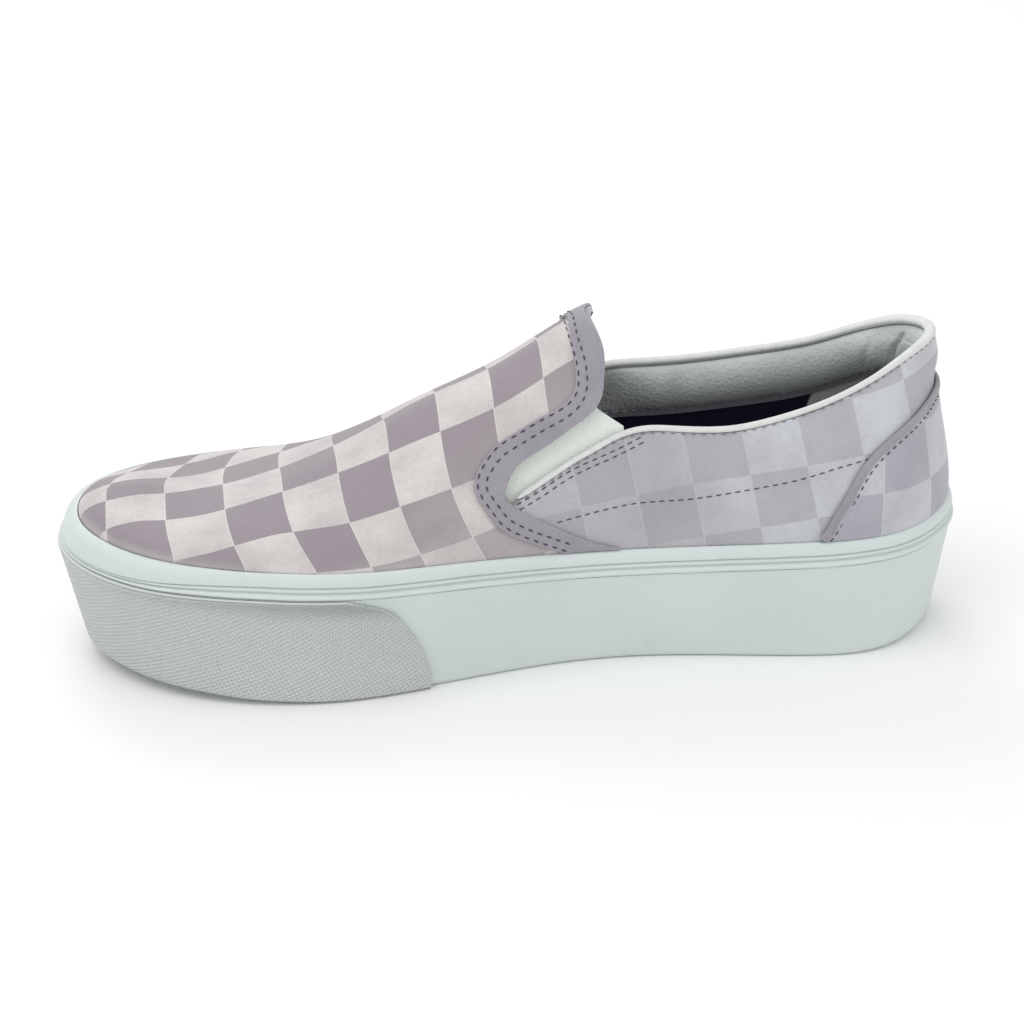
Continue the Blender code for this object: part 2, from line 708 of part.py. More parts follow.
def counter_line(shift):
    """Counter seam moved back and down by a length."""
    rows = []
    for k, (station, rise) in enumerate(COUNTER):
        here = np.array(pattern(station, rise))
        before = np.array(pattern(*COUNTER[max(k - 1, 0)]))
        after = np.array(pattern(*COUNTER[min(k + 1, len(COUNTER) - 1)]))
        along = (after - before) / np.linalg.norm(after - before)
        moved = here + np.array((along[1], -along[0])) * shift
        new_station = (moved[0] - HEEL_X) / FEATHER_LENGTH
        base = sole_top(min(max(new_station, 0), 1)) * HEEL_STACK
        new_rise = max((moved[1] - base) / INSTEP_RISE, COUNTER[-1][1])
        rows.append((new_station, new_rise, new_rise))
    return rows


def counter_piping():
    """Raised fold along the counter's front seam."""
    outside = CLEARANCE + PIPING_THICKNESS
    piece = last_shell("counter_piping", outside, CLEARANCE, (0.60, 0.56, 0.64), 0.7)
    strip = counter_line(0.0) + counter_line(PIPING_WIDTH)[::-1]
    cut(piece, pattern_block("piping_strip", strip, BLOCK_HALF, -BLOCK_HALF), "INTERSECT")
    return piece


def heel_counter():
    """Panel round the heel, behind the piping."""
    outside = CLEARANCE + COUNTER_THICKNESS
    piece = last_shell("heel_counter", outside, CLEARANCE, (0.60, 0.56, 0.64), 0.7)
    edge = counter_line(PIPING_WIDTH + CLEARANCE)
    corner = (BEHIND_HEEL, COUNTER[-1][1], COUNTER[-1][1])
    cut(piece, pattern_block("counter_outline", edge + [corner], BLOCK_HALF, -BLOCK_HALF), "INTERSECT")
    return piece


def stand_on_centre():
    """Move everything so that the origin is under the middle of the shoe, on the floor."""
    pieces = [o for o in bpy.data.objects if not o.hide_render]
    bpy.context.view_layer.update()
    corners = np.array([v.co for o in pieces for v in o.data.vertices])
    low, high = corners.min(axis=0), corners.max(axis=0)
    middle = (low + high) / 2
    for item in bpy.data.objects:
        for vertex in item.data.vertices:
            vertex.co.x -= middle[0]
            vertex.co.y -= middle[1]
            vertex.co.z -= low[2]


for old in list(bpy.data.objects):
    bpy.data.objects.remove(old, do_unlink=True)

outsole()
midsole()
foxing()
toe_bumper()
insole()
upper()
gore("gore_inner", BLOCK_HALF, GORE_APART)
gore("gore_outer", -GORE_APART, -BLOCK_HALF)
collar_padding()
collar_binding()
vamp_band()
counter_piping()
heel_counter()
stand_on_centre()
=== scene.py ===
"""Looks of a right slip-on platform sneaker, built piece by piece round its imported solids.

Metres, +X from heel to toe, +Y to the wearer's inner side, +Z up.
"""
import math

import bmesh
import bpy
import numpy as np
from mathutils import Matrix


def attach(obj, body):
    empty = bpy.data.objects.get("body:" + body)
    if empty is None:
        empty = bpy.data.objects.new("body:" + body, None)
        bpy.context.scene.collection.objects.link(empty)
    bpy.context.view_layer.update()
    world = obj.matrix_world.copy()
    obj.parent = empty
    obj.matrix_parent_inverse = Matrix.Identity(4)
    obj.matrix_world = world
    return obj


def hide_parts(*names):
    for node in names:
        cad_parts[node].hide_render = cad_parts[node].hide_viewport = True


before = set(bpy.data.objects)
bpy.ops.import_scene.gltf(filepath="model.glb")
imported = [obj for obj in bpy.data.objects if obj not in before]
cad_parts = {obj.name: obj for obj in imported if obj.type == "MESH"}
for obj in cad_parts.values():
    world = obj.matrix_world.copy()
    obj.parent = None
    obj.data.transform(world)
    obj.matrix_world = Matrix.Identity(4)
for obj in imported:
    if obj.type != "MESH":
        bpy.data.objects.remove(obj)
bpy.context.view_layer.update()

# The platform and the tread: one block of foam rubber cast to the outline, smooth down its
# side to the floor. The tread under it has cross lugs under heel and forefoot, a plain waist,
# and lifts a little at the toe. Its side stands out past the upper on a shoulder.

# Sizes of the last, the foot form that the shoe is built on. It isn't in the finished shoe,
# but the sole's outline and every panel's place are worked out on it, as in the solids.
LENGTH = 0.275              # toe bumper to heel, outside
BALL_WIDTH = 0.097
HEEL_STACK = 0.0424         # floor to feather line at the heel
INSTEP_RISE = 0.065         # feather line to the top of the tab
WALL = 0.0020
CLEARANCE = 0.0003
HEEL_LEDGE = 0.0025         # how far the sole stands out past the upper
SIDE_LEDGE = 0.0019
TOE_LEDGE = 0.0050
BUMPER_THICKNESS = 0.0015
HEEL_HOLLOW = 0.0028
COLLAR_BULGE = 0.0022       # how far the padded collar stands back over the heel counter
HEEL_ZONE = 0.15            # stations where the round heel ends and the round toe starts
TOE_ZONE = 0.80
FEATHER_LENGTH = LENGTH - HEEL_LEDGE - TOE_LEDGE - BUMPER_THICKNESS - CLEARANCE
HEEL_X = -LENGTH / 2 + HEEL_LEDGE
CENTRE = np.array((0.000915, 0.000570, 0.0))    # from the heel's frame to the shoe's middle
COLUMNS = 200               # from heel to toe on each side
LOOP = 2 * COLUMNS          # right round the sole
SHARP_CORNER = math.radians(40)

# Sizes of the sole
FOXING_HEIGHT = 0.0080
FOXING_SEAM = 0.00005
SIDE_SHOULDER = 0.0036      # drop from the feather line to the widest line
TOE_SHOULDER = 0.0066
HEEL_INSET = 0.0045         # how far the bottom edge lies inside the widest line
SIDE_INSET = 0.0027
TOE_INSET = 0.0080
WAIST_INSET = 0.0011
WAIST_PLACE = 0.41
WAIST_SPREAD = 0.12
SIDE_CORNER = 0.0015
END_CORNER = 0.0045
CORNER_TURN = 0.96
TOE_SPRING = 0.0031
TOE_SPRING_SPAN = (0.70, 0.97)
HEEL_LIFT = 0.0005
HEEL_LIFT_END = 0.08
OUTSOLE_THICKNESS = 0.0060
GROOVE_WIDTH = 0.0035
GROOVE_DEEP = 0.0020
LUG_PITCH = 0.0130
TREAD_MARGIN = 0.0110
TREAD_SPAN = (0.06, 0.93)
WAIST_SPAN = (0.34, 0.50)
RUBBER = (0.60, 0.665, 0.655)
RUBBER_SHADE = (0.54, 0.60, 0.59)

# Feather line: station (share of its length), inner and outer half width (shares of the ball)
OUTLINE = [
    (0.020, 0.168, 0.172), (0.080, 0.320, 0.308), (0.180, 0.347, 0.352), (0.320, 0.308, 0.369),
    (0.460, 0.320, 0.407), (0.600, 0.404, 0.468), (0.720, 0.472, 0.482), (0.840, 0.445, 0.413),
    (0.930, 0.346, 0.308), (0.985, 0.180, 0.159),
]
TOE_POINT = 0.027
# Station against: height of the feather line, rise of the ridge, lean of the ridge
SOLE_TOP = [(0.0, 1.000), (0.2, 0.925), (0.4, 0.894), (0.6, 0.953), (0.8, 1.024), (1.0, 1.078)]
RIDGE = [
    (0.087, 1.000), (0.169, 1.050), (0.282, 1.080), (0.376, 1.040), (0.429, 0.980),
    (0.489, 0.820), (0.534, 0.697), (0.625, 0.500), (0.696, 0.305), (0.772, 0.186),
    (0.884, 0.128), (0.930, 0.128),
]
HEEL_FAN = RIDGE[0][0]
TOE_FAN = RIDGE[-1][0]
LEAN = [(0.0, 0.0), (0.2, -0.005), (0.45, 0.0), (0.6, 0.0), (0.75, 0.045), (0.9, 0.065), (1.0, 0.02)]
# Station, fullness of the section on the inner and on the outer side (2 is an ellipse)
FULLNESS = [
    (0.00, 2.20, 2.20), (0.12, 2.30, 2.30), (0.30, 2.25, 2.25), (0.45, 2.05, 2.00),
    (0.60, 1.50, 1.52), (0.80, 1.45, 1.15), (0.93, 2.20, 1.15), (1.00, 2.10, 1.60),
]


class Curve:
    """Smooth curve through the rows of a table (natural cubic spline)."""

    def __init__(self, at, values, closed=False):
        self.at = np.asarray(at, float)
        self.values = np.asarray(values, float)
        count = len(self.at)
        gap = np.diff(self.at)
        slope = np.diff(self.values, axis=0) / (gap if self.values.ndim == 1 else gap[:, None])
        matrix = np.eye(count)
        right = np.zeros_like(self.values)
        for k in range(1, count - 1):
            matrix[k, k - 1:k + 2] = gap[k - 1], 2 * (gap[k - 1] + gap[k]), gap[k]
            right[k] = 6 * (slope[k] - slope[k - 1])
        if closed:
            matrix[0, 0] = 2 * (gap[0] + gap[-1])
            matrix[0, 1] = gap[0]
            matrix[0, -2] = gap[-1]
            right[0] = 6 * (slope[0] - slope[-1])
            matrix[-1, 0] = -1
        self.bend = np.linalg.solve(matrix, right)

    def __call__(self, at):
        at = np.asarray(at, float)
        k = np.clip(np.searchsorted(self.at, at, side="right") - 1, 0, len(self.at) - 2)
        gap = self.at[k + 1] - self.at[k]
        after = at - self.at[k]
        before = self.at[k + 1] - at
        if self.values.ndim > 1:
            gap, after, before = gap[..., None], after[..., None], before[..., None]
        cubic = (self.bend[k] * before ** 3 + self.bend[k + 1] * after ** 3) / (6 * gap)
        start = self.values[k] / gap - self.bend[k] * gap / 6
        end = self.values[k + 1] / gap - self.bend[k + 1] * gap / 6
        return cubic + start * before + end * after


def table_curve(rows, column=1):
    return Curve([row[0] for row in rows], [row[column] for row in rows])


def blend(start, end, at):
    """Soft step from 0 at start to 1 at end."""
    share = np.clip((np.asarray(at, float) - start) / (end - start), 0, 1)
    return share * share * (3 - 2 * share)


def outline_sides():
    """Half widths of the feather line on both sides, against the fan angle (0 heel, 1 toe)."""
    inner = [(row[0] * FEATHER_LENGTH, row[1] * BALL_WIDTH) for row in OUTLINE]
    outer = [(row[0] * FEATHER_LENGTH, -row[2] * BALL_WIDTH) for row in reversed(OUTLINE)]
    toe = (FEATHER_LENGTH, TOE_POINT * BALL_WIDTH)
    points = np.array([(0.0, 0.0)] + inner + [toe] + outer + [(0.0, 0.0)])
    chords = np.linalg.norm(np.diff(points, axis=0), axis=1)
    along = np.concatenate([[0], np.cumsum(np.sqrt(chords))])
    dense = Curve(along, points, closed=True)(np.linspace(0, along[-1], 4001))[:-1]
    dense = np.roll(dense, -int(np.argmin(dense[:, 0])), axis=0)
    tip = int(np.argmax(dense[:, 0]))
    share = (dense[:, 0] - dense[0, 0]) / (dense[tip, 0] - dense[0, 0])
    angle = np.arccos(np.clip(1 - 2 * share, -1, 1)) / math.pi
    outer_angle = np.concatenate([angle[tip:], [0]])[::-1]
    outer_width = np.concatenate([dense[tip:, 1], dense[:1, 1]])[::-1]
    return (angle[:tip + 1], dense[:tip + 1, 1]), (outer_angle, outer_width)


INNER_SIDE, OUTER_SIDE = outline_sides()
sole_top = table_curve(SOLE_TOP)
ridge = table_curve(RIDGE)
lean = table_curve(LEAN)
inner_fullness = table_curve(FULLNESS)
outer_fullness = table_curve(FULLNESS, 2)


def station_of(angle):
    return (1 - np.cos(math.pi * np.asarray(angle, float))) / 2


def angle_of(station):
    return np.arccos(np.clip(1 - 2 * np.asarray(station, float), -1, 1)) / math.pi


def feather(side, angle):
    """Point of the feather line; side is 1 for the inner side and -1 for the outer."""
    station = station_of(angle)
    y = np.where(side > 0, np.interp(angle, *INNER_SIDE), np.interp(angle, *OUTER_SIDE))
    z = sole_top(station) * HEEL_STACK
    return np.stack(np.broadcast_arrays(HEEL_X + station * FEATHER_LENGTH, y, z), -1)


def last_point(side, angle, climb):
    """Point of the last; climb runs from 0 at the feather line to 1 at the ridge."""
    foot = feather(side, angle)
    station = station_of(angle)
    top_station = HEEL_FAN + station * (TOE_FAN - HEEL_FAN)
    top_x = HEEL_X + top_station * FEATHER_LENGTH
    top_y = lean(station) * BALL_WIDTH
    top_z = sole_top(top_station) * HEEL_STACK + ridge(top_station) * INSTEP_RISE
    power = np.where(np.asarray(side) > 0, inner_fullness(station), outer_fullness(station))
    turn = np.asarray(climb, float) * math.pi / 2
    level, rise = np.abs(np.cos(turn)), np.abs(np.sin(turn))
    reach = (level ** power + rise ** power) ** (-1 / power)
    level, rise = level * reach, rise * reach
    hollow = HEEL_HOLLOW * np.sin(math.pi * rise) ** 2 * (1 - blend(0.0, HEEL_ZONE, station))
    heel = 1 - blend(0.0, HEEL_ZONE, station)
    bulge = COLLAR_BULGE * blend(0.56, 0.72, rise) * heel
    x = top_x + (foot[..., 0] - top_x) * level + hollow - bulge
    y = top_y + (foot[..., 1] - top_y) * level
    z = foot[..., 2] + (top_z - foot[..., 2]) * rise
    return np.stack(np.broadcast_arrays(x, y, z), -1)


def side_normal(side, angle, climb):
    """Outward normal of one side of the last."""
    step = 1e-3
    angle, climb, side = np.broadcast_arrays(np.asarray(angle, float), climb, side)
    along = last_point(side, np.clip(angle + step, 0, 1), climb)
    along = along - last_point(side, np.clip(angle - step, 0, 1), climb)
    up = last_point(side, angle, np.clip(climb + step, 0, 1))
    up = up - last_point(side, angle, np.clip(climb - step, 0, 1))
    normal = np.cross(up, along) * np.asarray(side)[..., None]
    return normal / np.linalg.norm(normal, axis=-1, keepdims=True)


def placed(name, data):
    """Object of a mesh, light or camera, in the scene."""
    holder = bpy.data.objects.new(name, data)
    bpy.context.scene.collection.objects.link(holder)
    return holder


def shade(mesh):
    """Smooth shading that keeps sharp corners."""
    mesh.shade_smooth()
    mesh.set_sharp_from_angle(angle=SHARP_CORNER)


def make_piece(name, points, faces):
    """Mesh object with outward faces, moved from the heel's frame to the shoe's middle."""
    mesh = bpy.data.meshes.new(name)
    mesh.from_pydata((np.asarray(points, float) + CENTRE).tolist(), [], faces)
    shape = bmesh.new()
    shape.from_mesh(mesh)
    bmesh.ops.recalc_face_normals(shape, faces=shape.faces)
    shape.to_mesh(mesh)
    shape.free()
    shade(mesh)
    return placed(name, mesh)


def grid_faces(rows, columns, first=0, around=False):
    """Quads of a grid of points kept row by row; around joins each row's last point to its first."""
    faces = []
    for r in range(rows - 1):
        for c in range(columns if around else columns - 1):
            n = (c + 1) % columns
            a = first + r * columns
            faces.append((a + c, a + n, a + columns + n, a + columns + c))
    return faces


class Sum:
    """A number socket of a finish that takes part in arithmetic."""

    def __init__(self, finish, socket):
        self.finish = finish
        self.socket = socket

    def do(self, operation, *others):
        values = {k: other for k, other in enumerate((self,) + others)}
        node = self.finish.node("ShaderNodeMath", {"operation": operation}, values)
        return Sum(self.finish, node.outputs[0])

    def turned(self, operation, other):
        node = self.finish.node("ShaderNodeMath", {"operation": operation}, {0: other, 1: self})
        return Sum(self.finish, node.outputs[0])

    def __add__(self, other):
        return self.do("ADD", other)

    def __sub__(self, other):
        return self.do("SUBTRACT", other)

    def __mul__(self, other):
        return self.do("MULTIPLY", other)

    def __rsub__(self, other):
        return self.turned("SUBTRACT", other)

    __radd__ = __add__
    __rmul__ = __mul__

    def waves(self, pitch):
        """Sine of the value, with one wave to a pitch."""
        return (self * (2 * math.pi / pitch)).do("SINE")

    def soft(self, start, end):
        """Soft step of the value from 0 at start to 1 at end."""
        settings = {"interpolation_type": "SMOOTHSTEP"}
        values = {"Value": self, "From Min": start, "From Max": end}
        return Sum(self.finish, self.finish.node("ShaderNodeMapRange", settings, values).outputs[0])


class Finish:
    """A procedural material: what is even is set on the shader, what varies is linked."""

    def __init__(self, name, **even):
        self.material = bpy.data.materials.new(name)
        self.material.use_nodes = True
        self.tree = self.material.node_tree
        self.shader = self.tree.nodes["Principled BSDF"]
        sockets = {socket.name.lower().replace(" ", "_"): socket for socket in self.shader.inputs}
        for key, value in even.items():
            self.put(sockets[key], value)

    def put(self, socket, value):
        if isinstance(value, Sum):
            value = value.socket
        if isinstance(value, bpy.types.NodeSocket):
            self.tree.links.new(value, socket)
        elif isinstance(value, tuple) and len(value) == 3 and socket.type == "RGBA":
            socket.default_value = (*value, 1)
        else:
            socket.default_value = value

    def node(self, kind, settings=None, values=None):
        """A node of a kind, with its settings made first and then the values of its sockets."""
        node = self.tree.nodes.new(kind)
        for key, value in (settings or {}).items():
            setattr(node, key, value)
        for key, value in (values or {}).items():
            self.put(node.inputs[key], value)
        return node

    def place(self):
        return self.node("ShaderNodeTexCoord").outputs["Object"]

    def axes(self, vector):
        parts = self.node("ShaderNodeSeparateXYZ", None, {0: vector}).outputs
        return Sum(self, parts[0]), Sum(self, parts[1]), Sum(self, parts[2])

    def map_axes(self, name):
        uv = self.node("ShaderNodeUVMap", {"uv_map": name}).outputs[0]
        return self.axes(uv)[:2]

    def noise(self, scale, detail=2.0, vector=None, roughness=0.5):
        values = {"Vector": vector or self.place(), "Scale": scale, "Detail": detail}
        values["Roughness"] = roughness
        return Sum(self, self.node("ShaderNodeTexNoise", None, values).outputs[0])

    def mix(self, factor, first, second):
        settings = {"data_type": "RGBA"}
        node = self.node("ShaderNodeMix", settings, {"Factor": factor})
        self.put(node.inputs[6], first)
        self.put(node.inputs[7], second)
        return node.outputs[2]

    def bump(self, height, distance, strength=1.0, under=None):
        values = {"Height": height, "Distance": distance, "Strength": strength}
        node = self.node("ShaderNodeBump", None, values)
        if under is not None:
            self.put(node.inputs["Normal"], under)
        return node.outputs[0]

    def colour(self, value):
        self.put(self.shader.inputs["Base Color"], value)

    def rough(self, value):
        self.put(self.shader.inputs["Roughness"], value)

    def normal(self, value):
        self.put(self.shader.inputs["Normal"], value)


def finished(piece, finish, node):
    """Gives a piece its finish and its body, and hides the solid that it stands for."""
    if finish is not None:
        piece.data.materials.append(finish.material)
    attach(piece, "root")
    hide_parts(node)
    return piece


angles = np.arange(COLUMNS + 1) / COLUMNS
SIDES = np.concatenate([np.ones(COLUMNS + 1), -np.ones(COLUMNS - 1)])
ANGLES = np.concatenate([angles, angles[-2:0:-1]])
STATIONS = station_of(ANGLES)
FEATHER = feather(SIDES, ANGLES)
PLAN_NORMAL = side_normal(SIDES, ANGLES, np.zeros_like(ANGLES)) * (1, 1, 0)
PLAN_NORMAL /= np.linalg.norm(PLAN_NORMAL, axis=-1, keepdims=True)
heel_round = 1 - blend(0.0, HEEL_ZONE, STATIONS)
toe_round = blend(TOE_ZONE, 1.0, STATIONS)
ledge = SIDE_LEDGE + (HEEL_LEDGE - SIDE_LEDGE) * heel_round + (TOE_LEDGE - SIDE_LEDGE) * toe_round
shoulder = SIDE_SHOULDER + (TOE_SHOULDER - SIDE_SHOULDER) * toe_round


def bottom_height(station):
    """Toe spring and heel lift of the tread."""
    toe = TOE_SPRING * blend(*TOE_SPRING_SPAN, station)
    return toe + HEEL_LIFT * (1 - blend(0.0, HEEL_LIFT_END, station))


def sole_wall(share, outward=0.0):
    """Row of the sole's side; share is 0 under the foxing and 1 at the bottom edge."""
    share = np.broadcast_to(share, STATIONS.shape)
    waist = np.exp(-((STATIONS - WAIST_PLACE) / WAIST_SPREAD) ** 2) * (SIDES > 0)
    inset = SIDE_INSET + (HEEL_INSET - SIDE_INSET) * heel_round
    inset = inset + (TOE_INSET - SIDE_INSET) * toe_round + WAIST_INSET * waist
    top = FEATHER[:, 2] - FOXING_HEIGHT
    bottom = bottom_height(STATIONS)
    corner = SIDE_CORNER + (END_CORNER - SIDE_CORNER) * (heel_round + toe_round)
    height = top + (bottom - top) * share
    into = np.clip(1 - (height - bottom) / corner, 0, 1)
    rounding = corner * (1 - np.sqrt(1 - CORNER_TURN * into ** 2))
    row = FEATHER + PLAN_NORMAL * (ledge - inset * share - rounding + outward)[:, None]
    row[:, 2] = height
    return row


def wall_share(height_over_bottom):
    top = FEATHER[:, 2] - FOXING_HEIGHT
    return 1 - height_over_bottom / (top - bottom_height(STATIONS))


def loop_cap(first):
    """Faces across a closed row, as strips from the inner to the outer side."""
    faces = [(first, first + 1, first + LOOP - 1)]
    for k in range(1, COLUMNS - 1):
        faces.append((first + k, first + k + 1, first + LOOP - k - 1, first + LOOP - k))
    faces.append((first + COLUMNS - 1, first + COLUMNS, first + COLUMNS + 1))
    return faces


def loft(name, rows):
    """Solid through closed rows of points, with two flat ends."""
    faces = grid_faces(len(rows), LOOP, around=True)
    faces += loop_cap(0) + loop_cap((len(rows) - 1) * LOOP)
    return make_piece(name, np.concatenate(rows), faces)


def apply_modifiers(piece):
    """Makes what a piece's modifiers give its plain mesh."""
    bpy.context.view_layer.update()
    shaped = piece.evaluated_get(bpy.context.evaluated_depsgraph_get())
    mesh = bpy.data.meshes.new_from_object(shaped)
    piece.modifiers.clear()
    piece.data = mesh
    return mesh


def apply_cut(piece, tool, operation):
    """Boolean of a piece with a tool, made a plain mesh; the tool is removed."""
    modifier = piece.modifiers.new("cut", "BOOLEAN")
    modifier.operation = operation
    modifier.solver = "EXACT"
    modifier.object = tool
    mesh = apply_modifiers(piece)
    mesh.materials.clear()
    bpy.data.objects.remove(tool, do_unlink=True)
    shade(mesh)


def tread_tool():
    """The grooves between the lugs, one flat box for each."""
    shape = bmesh.new()
    count = int((TREAD_SPAN[1] - TREAD_SPAN[0]) * FEATHER_LENGTH / LUG_PITCH) + 1
    for k in range(count):
        station = TREAD_SPAN[0] + k * LUG_PITCH / FEATHER_LENGTH
        if WAIST_SPAN[0] < station < WAIST_SPAN[1]:
            continue
        angle = float(angle_of(station))
        inner = float(np.interp(angle, *INNER_SIDE)) - TREAD_MARGIN
        outer = float(np.interp(angle, *OUTER_SIDE)) + TREAD_MARGIN
        height = float(bottom_height(station))
        middle = (HEEL_X + station * FEATHER_LENGTH, (inner + outer) / 2, height)
        box = bmesh.ops.create_cube(shape, size=1)["verts"]
        bmesh.ops.scale(shape, vec=(GROOVE_WIDTH, inner - outer, 2 * GROOVE_DEEP), verts=box)
        bmesh.ops.translate(shape, vec=np.array(middle) + CENTRE, verts=box)
    mesh = bpy.data.meshes.new("tread_tool")
    shape.to_mesh(mesh)
    shape.free()
    return placed("tread_tool", mesh)


def rubber(name, roughness):
    """Cast foam rubber: pale, a little mottled, with soft scuffs near the floor."""
    finish = Finish(name, specular_ior_level=0.4)
    cloud = finish.noise(22.0, 3.0)
    height = finish.axes(finish.place())[2]
    low = 1 - height.soft(0.0, 0.012)
    scuff = finish.noise(140.0, 4.0, roughness=0.7).soft(0.56, 0.72) * low * 0.35
    tint = finish.mix(cloud.soft(0.35, 0.7) * 0.45, RUBBER, RUBBER_SHADE)
    finish.colour(finish.mix(scuff, tint, (0.46, 0.46, 0.44)))
    finish.rough(cloud * 0.12 + (roughness - 0.05))
    grain = finish.noise(900.0, 2.0)
    finish.normal(finish.bump(grain + cloud * 2.0, 0.00008, 0.5))
    return finish


sole_rubber = rubber("sole_rubber", 0.50)
platform_last = wall_share(OUTSOLE_THICKNESS)
platform_first = FOXING_SEAM / (FEATHER[:, 2] - FOXING_HEIGHT - bottom_height(STATIONS))
platform_rows = []
for step in np.linspace(0, 1, 12):
    platform_rows.append(sole_wall(platform_first + (platform_last - platform_first) * step))
seat = FEATHER - PLAN_NORMAL * (WALL + CLEARANCE)
seat[:, 2] = platform_rows[0][:, 2]
under = FEATHER - PLAN_NORMAL * WALL
under[:, 2] = platform_rows[-1][:, 2] + CLEARANCE
platform = loft("platform", [seat] + platform_rows + [under])
finished(platform, sole_rubber, "midsole")

tread_rows = []
for step in np.linspace(0, 1, 14):
    tread_rows.append(sole_wall(platform_last + (1 - platform_last) * step))
lid = FEATHER - PLAN_NORMAL * WALL
lid[:, 2] = tread_rows[0][:, 2] - CLEARANCE
tread = loft("tread", [lid] + tread_rows)
apply_cut(tread, tread_tool(), "DIFFERENCE")
finished(tread, sole_rubber, "outsole")

# The foxing: a tape of firmer rubber wrapped round the top of the platform and rolled down,
# with a rounded shoulder, two shallow grooves and a ridge between them. It waves a little
# where it was pressed on by hand.
GROOVE_DEPTH = 0.0006
RIPPLE_HEIGHT = 0.00012     # of the waves left by pressing it on
# Flat part of the tape: share of its height, and how far it stands out in groove depths
FOXING_FACE = [
    (0.02, 0.0), (0.06, -0.9), (0.12, -1.0), (0.18, 0.0), (0.26, 0.25), (0.36, 0.1), (0.44, -0.7),
    (0.50, -1.0), (0.56, -0.5), (0.64, 0.6), (0.74, 1.0), (0.84, 1.0), (0.92, 0.6), (0.97, 0.1),
    (1.00, -0.5),
]

foxing_rows = [FEATHER + PLAN_NORMAL * CLEARANCE]
for turn in np.radians(np.linspace(12, 90, 12)):
    row = FEATHER + PLAN_NORMAL * (CLEARANCE + (ledge - CLEARANCE) * math.sin(turn))[:, None]
    row[:, 2] -= shoulder * (1 - math.cos(turn))
    foxing_rows.append(row)
ripple = np.sin(STATIONS * 61.0 + SIDES) * np.sin(STATIONS * 23.0 + 1.0) * RIPPLE_HEIGHT
for share, out in FOXING_FACE:
    row = FEATHER + PLAN_NORMAL * (ledge + GROOVE_DEPTH * out + ripple)[:, None]
    row[:, 2] -= shoulder + share * (FOXING_HEIGHT - shoulder)
    foxing_rows.append(row)
behind = FEATHER + PLAN_NORMAL * CLEARANCE
behind[:, 2] -= FOXING_HEIGHT
foxing_rows.append(behind)
faces = grid_faces(len(foxing_rows), LOOP, around=True)
last_row = (len(foxing_rows) - 1) * LOOP
faces += [(last_row + k, last_row + (k + 1) % LOOP, (k + 1) % LOOP, k) for k in range(LOOP)]
foxing = make_piece("foxing_tape", np.concatenate(foxing_rows), faces)
foxing_rubber = rubber("foxing_rubber", 0.42)
finished(foxing, foxing_rubber, "foxing")

# The toe bumper: a strip of rubber stuck round the front of the sole, moulded with rows of
# fine diamonds and a line of dots along its top, its ends rounded down to the floor.
BUMPER_RIB = 0.0013         # pitch of the slanted ribs
# Station, share of the way from foxing to floor
BUMPER_END = [
    (0.7128, 0.00), (0.6858, 0.06), (0.6635, 0.14), (0.6492, 0.27),
    (0.6360, 0.44), (0.6248, 0.64), (0.6187, 0.82), (0.6150, 1.10),
]
BUMPER_ROWS = 40
BUMPER_SLANT = 0.36         # how much the ribs lean
DOT_HEIGHT = 0.0018         # of one dot of the top line


def rim_faces(rows, columns):
    """Faces round the border of two like grids, the second kept right after the first."""
    border = list(range(columns)) + [r * columns + columns - 1 for r in range(1, rows)]
    border += [(rows - 1) * columns + c for c in range(columns - 2, -1, -1)]
    border += [r * columns for r in range(rows - 2, 0, -1)]
    apart = rows * columns
    return [(a, b, b + apart, a + apart) for a, b in zip(border, border[1:] + border[:1])]


def set_map(piece, name, values):
    """UV map of a piece, from a value for each of its vertices."""
    layer = piece.data.uv_layers.new(name=name)
    corners = np.zeros(len(piece.data.loops), np.int32)
    piece.data.loops.foreach_get("vertex_index", corners)
    layer.data.foreach_set("uv", np.asarray(values, np.float32)[corners].ravel())


def thin_piece(name, outer, inner):
    """Closed thin piece between two like grids of points."""
    rows, columns = outer.shape[:2]
    faces = grid_faces(rows, columns) + grid_faces(rows, columns, rows * columns)
    points = np.concatenate([outer.reshape(-1, 3), inner.reshape(-1, 3)])
    return make_piece(name, points, faces + rim_faces(rows, columns))


def run_length(points):
    """Distance from the first point along a line, or down each column of a grid."""
    steps = np.linalg.norm(np.diff(points, axis=0), axis=-1)
    return np.concatenate([np.zeros_like(steps[:1]), np.cumsum(steps, axis=0)])


def from_end(count):
    """Steps from the nearer end of a row."""
    return np.minimum(np.arange(count), np.arange(count - 1, -1, -1))


def bumper_start(share):
    """Station where the bumper starts, at a share of the way down the wall."""
    at = [row[1] for row in BUMPER_END]
    return Curve(at, [row[0] for row in BUMPER_END])(share)


def bumper_grid(outward):
    """Points of one face of the bumper, each row from the inner end round the toe to the outer."""
    first = platform_first + 0.006
    last = 1 - 0.9 * CLEARANCE / HEEL_STACK
    rows = []
    for share in np.linspace(0, 1, BUMPER_ROWS + 1):
        wall = sole_wall(first + (last - first) * share, outward)
        start = angle_of(bumper_start(share))
        spread = np.linspace(0, 1, COLUMNS)
        inner_side = start + (1 - start) * spread
        index = np.concatenate([inner_side, 2 - inner_side[-2::-1]]) * COLUMNS
        near = np.floor(index).astype(int)
        part = (index - near)[:, None]
        rows.append(wall[near % LOOP] * (1 - part) + wall[(near + 1) % LOOP] * part)
    return np.array(rows)


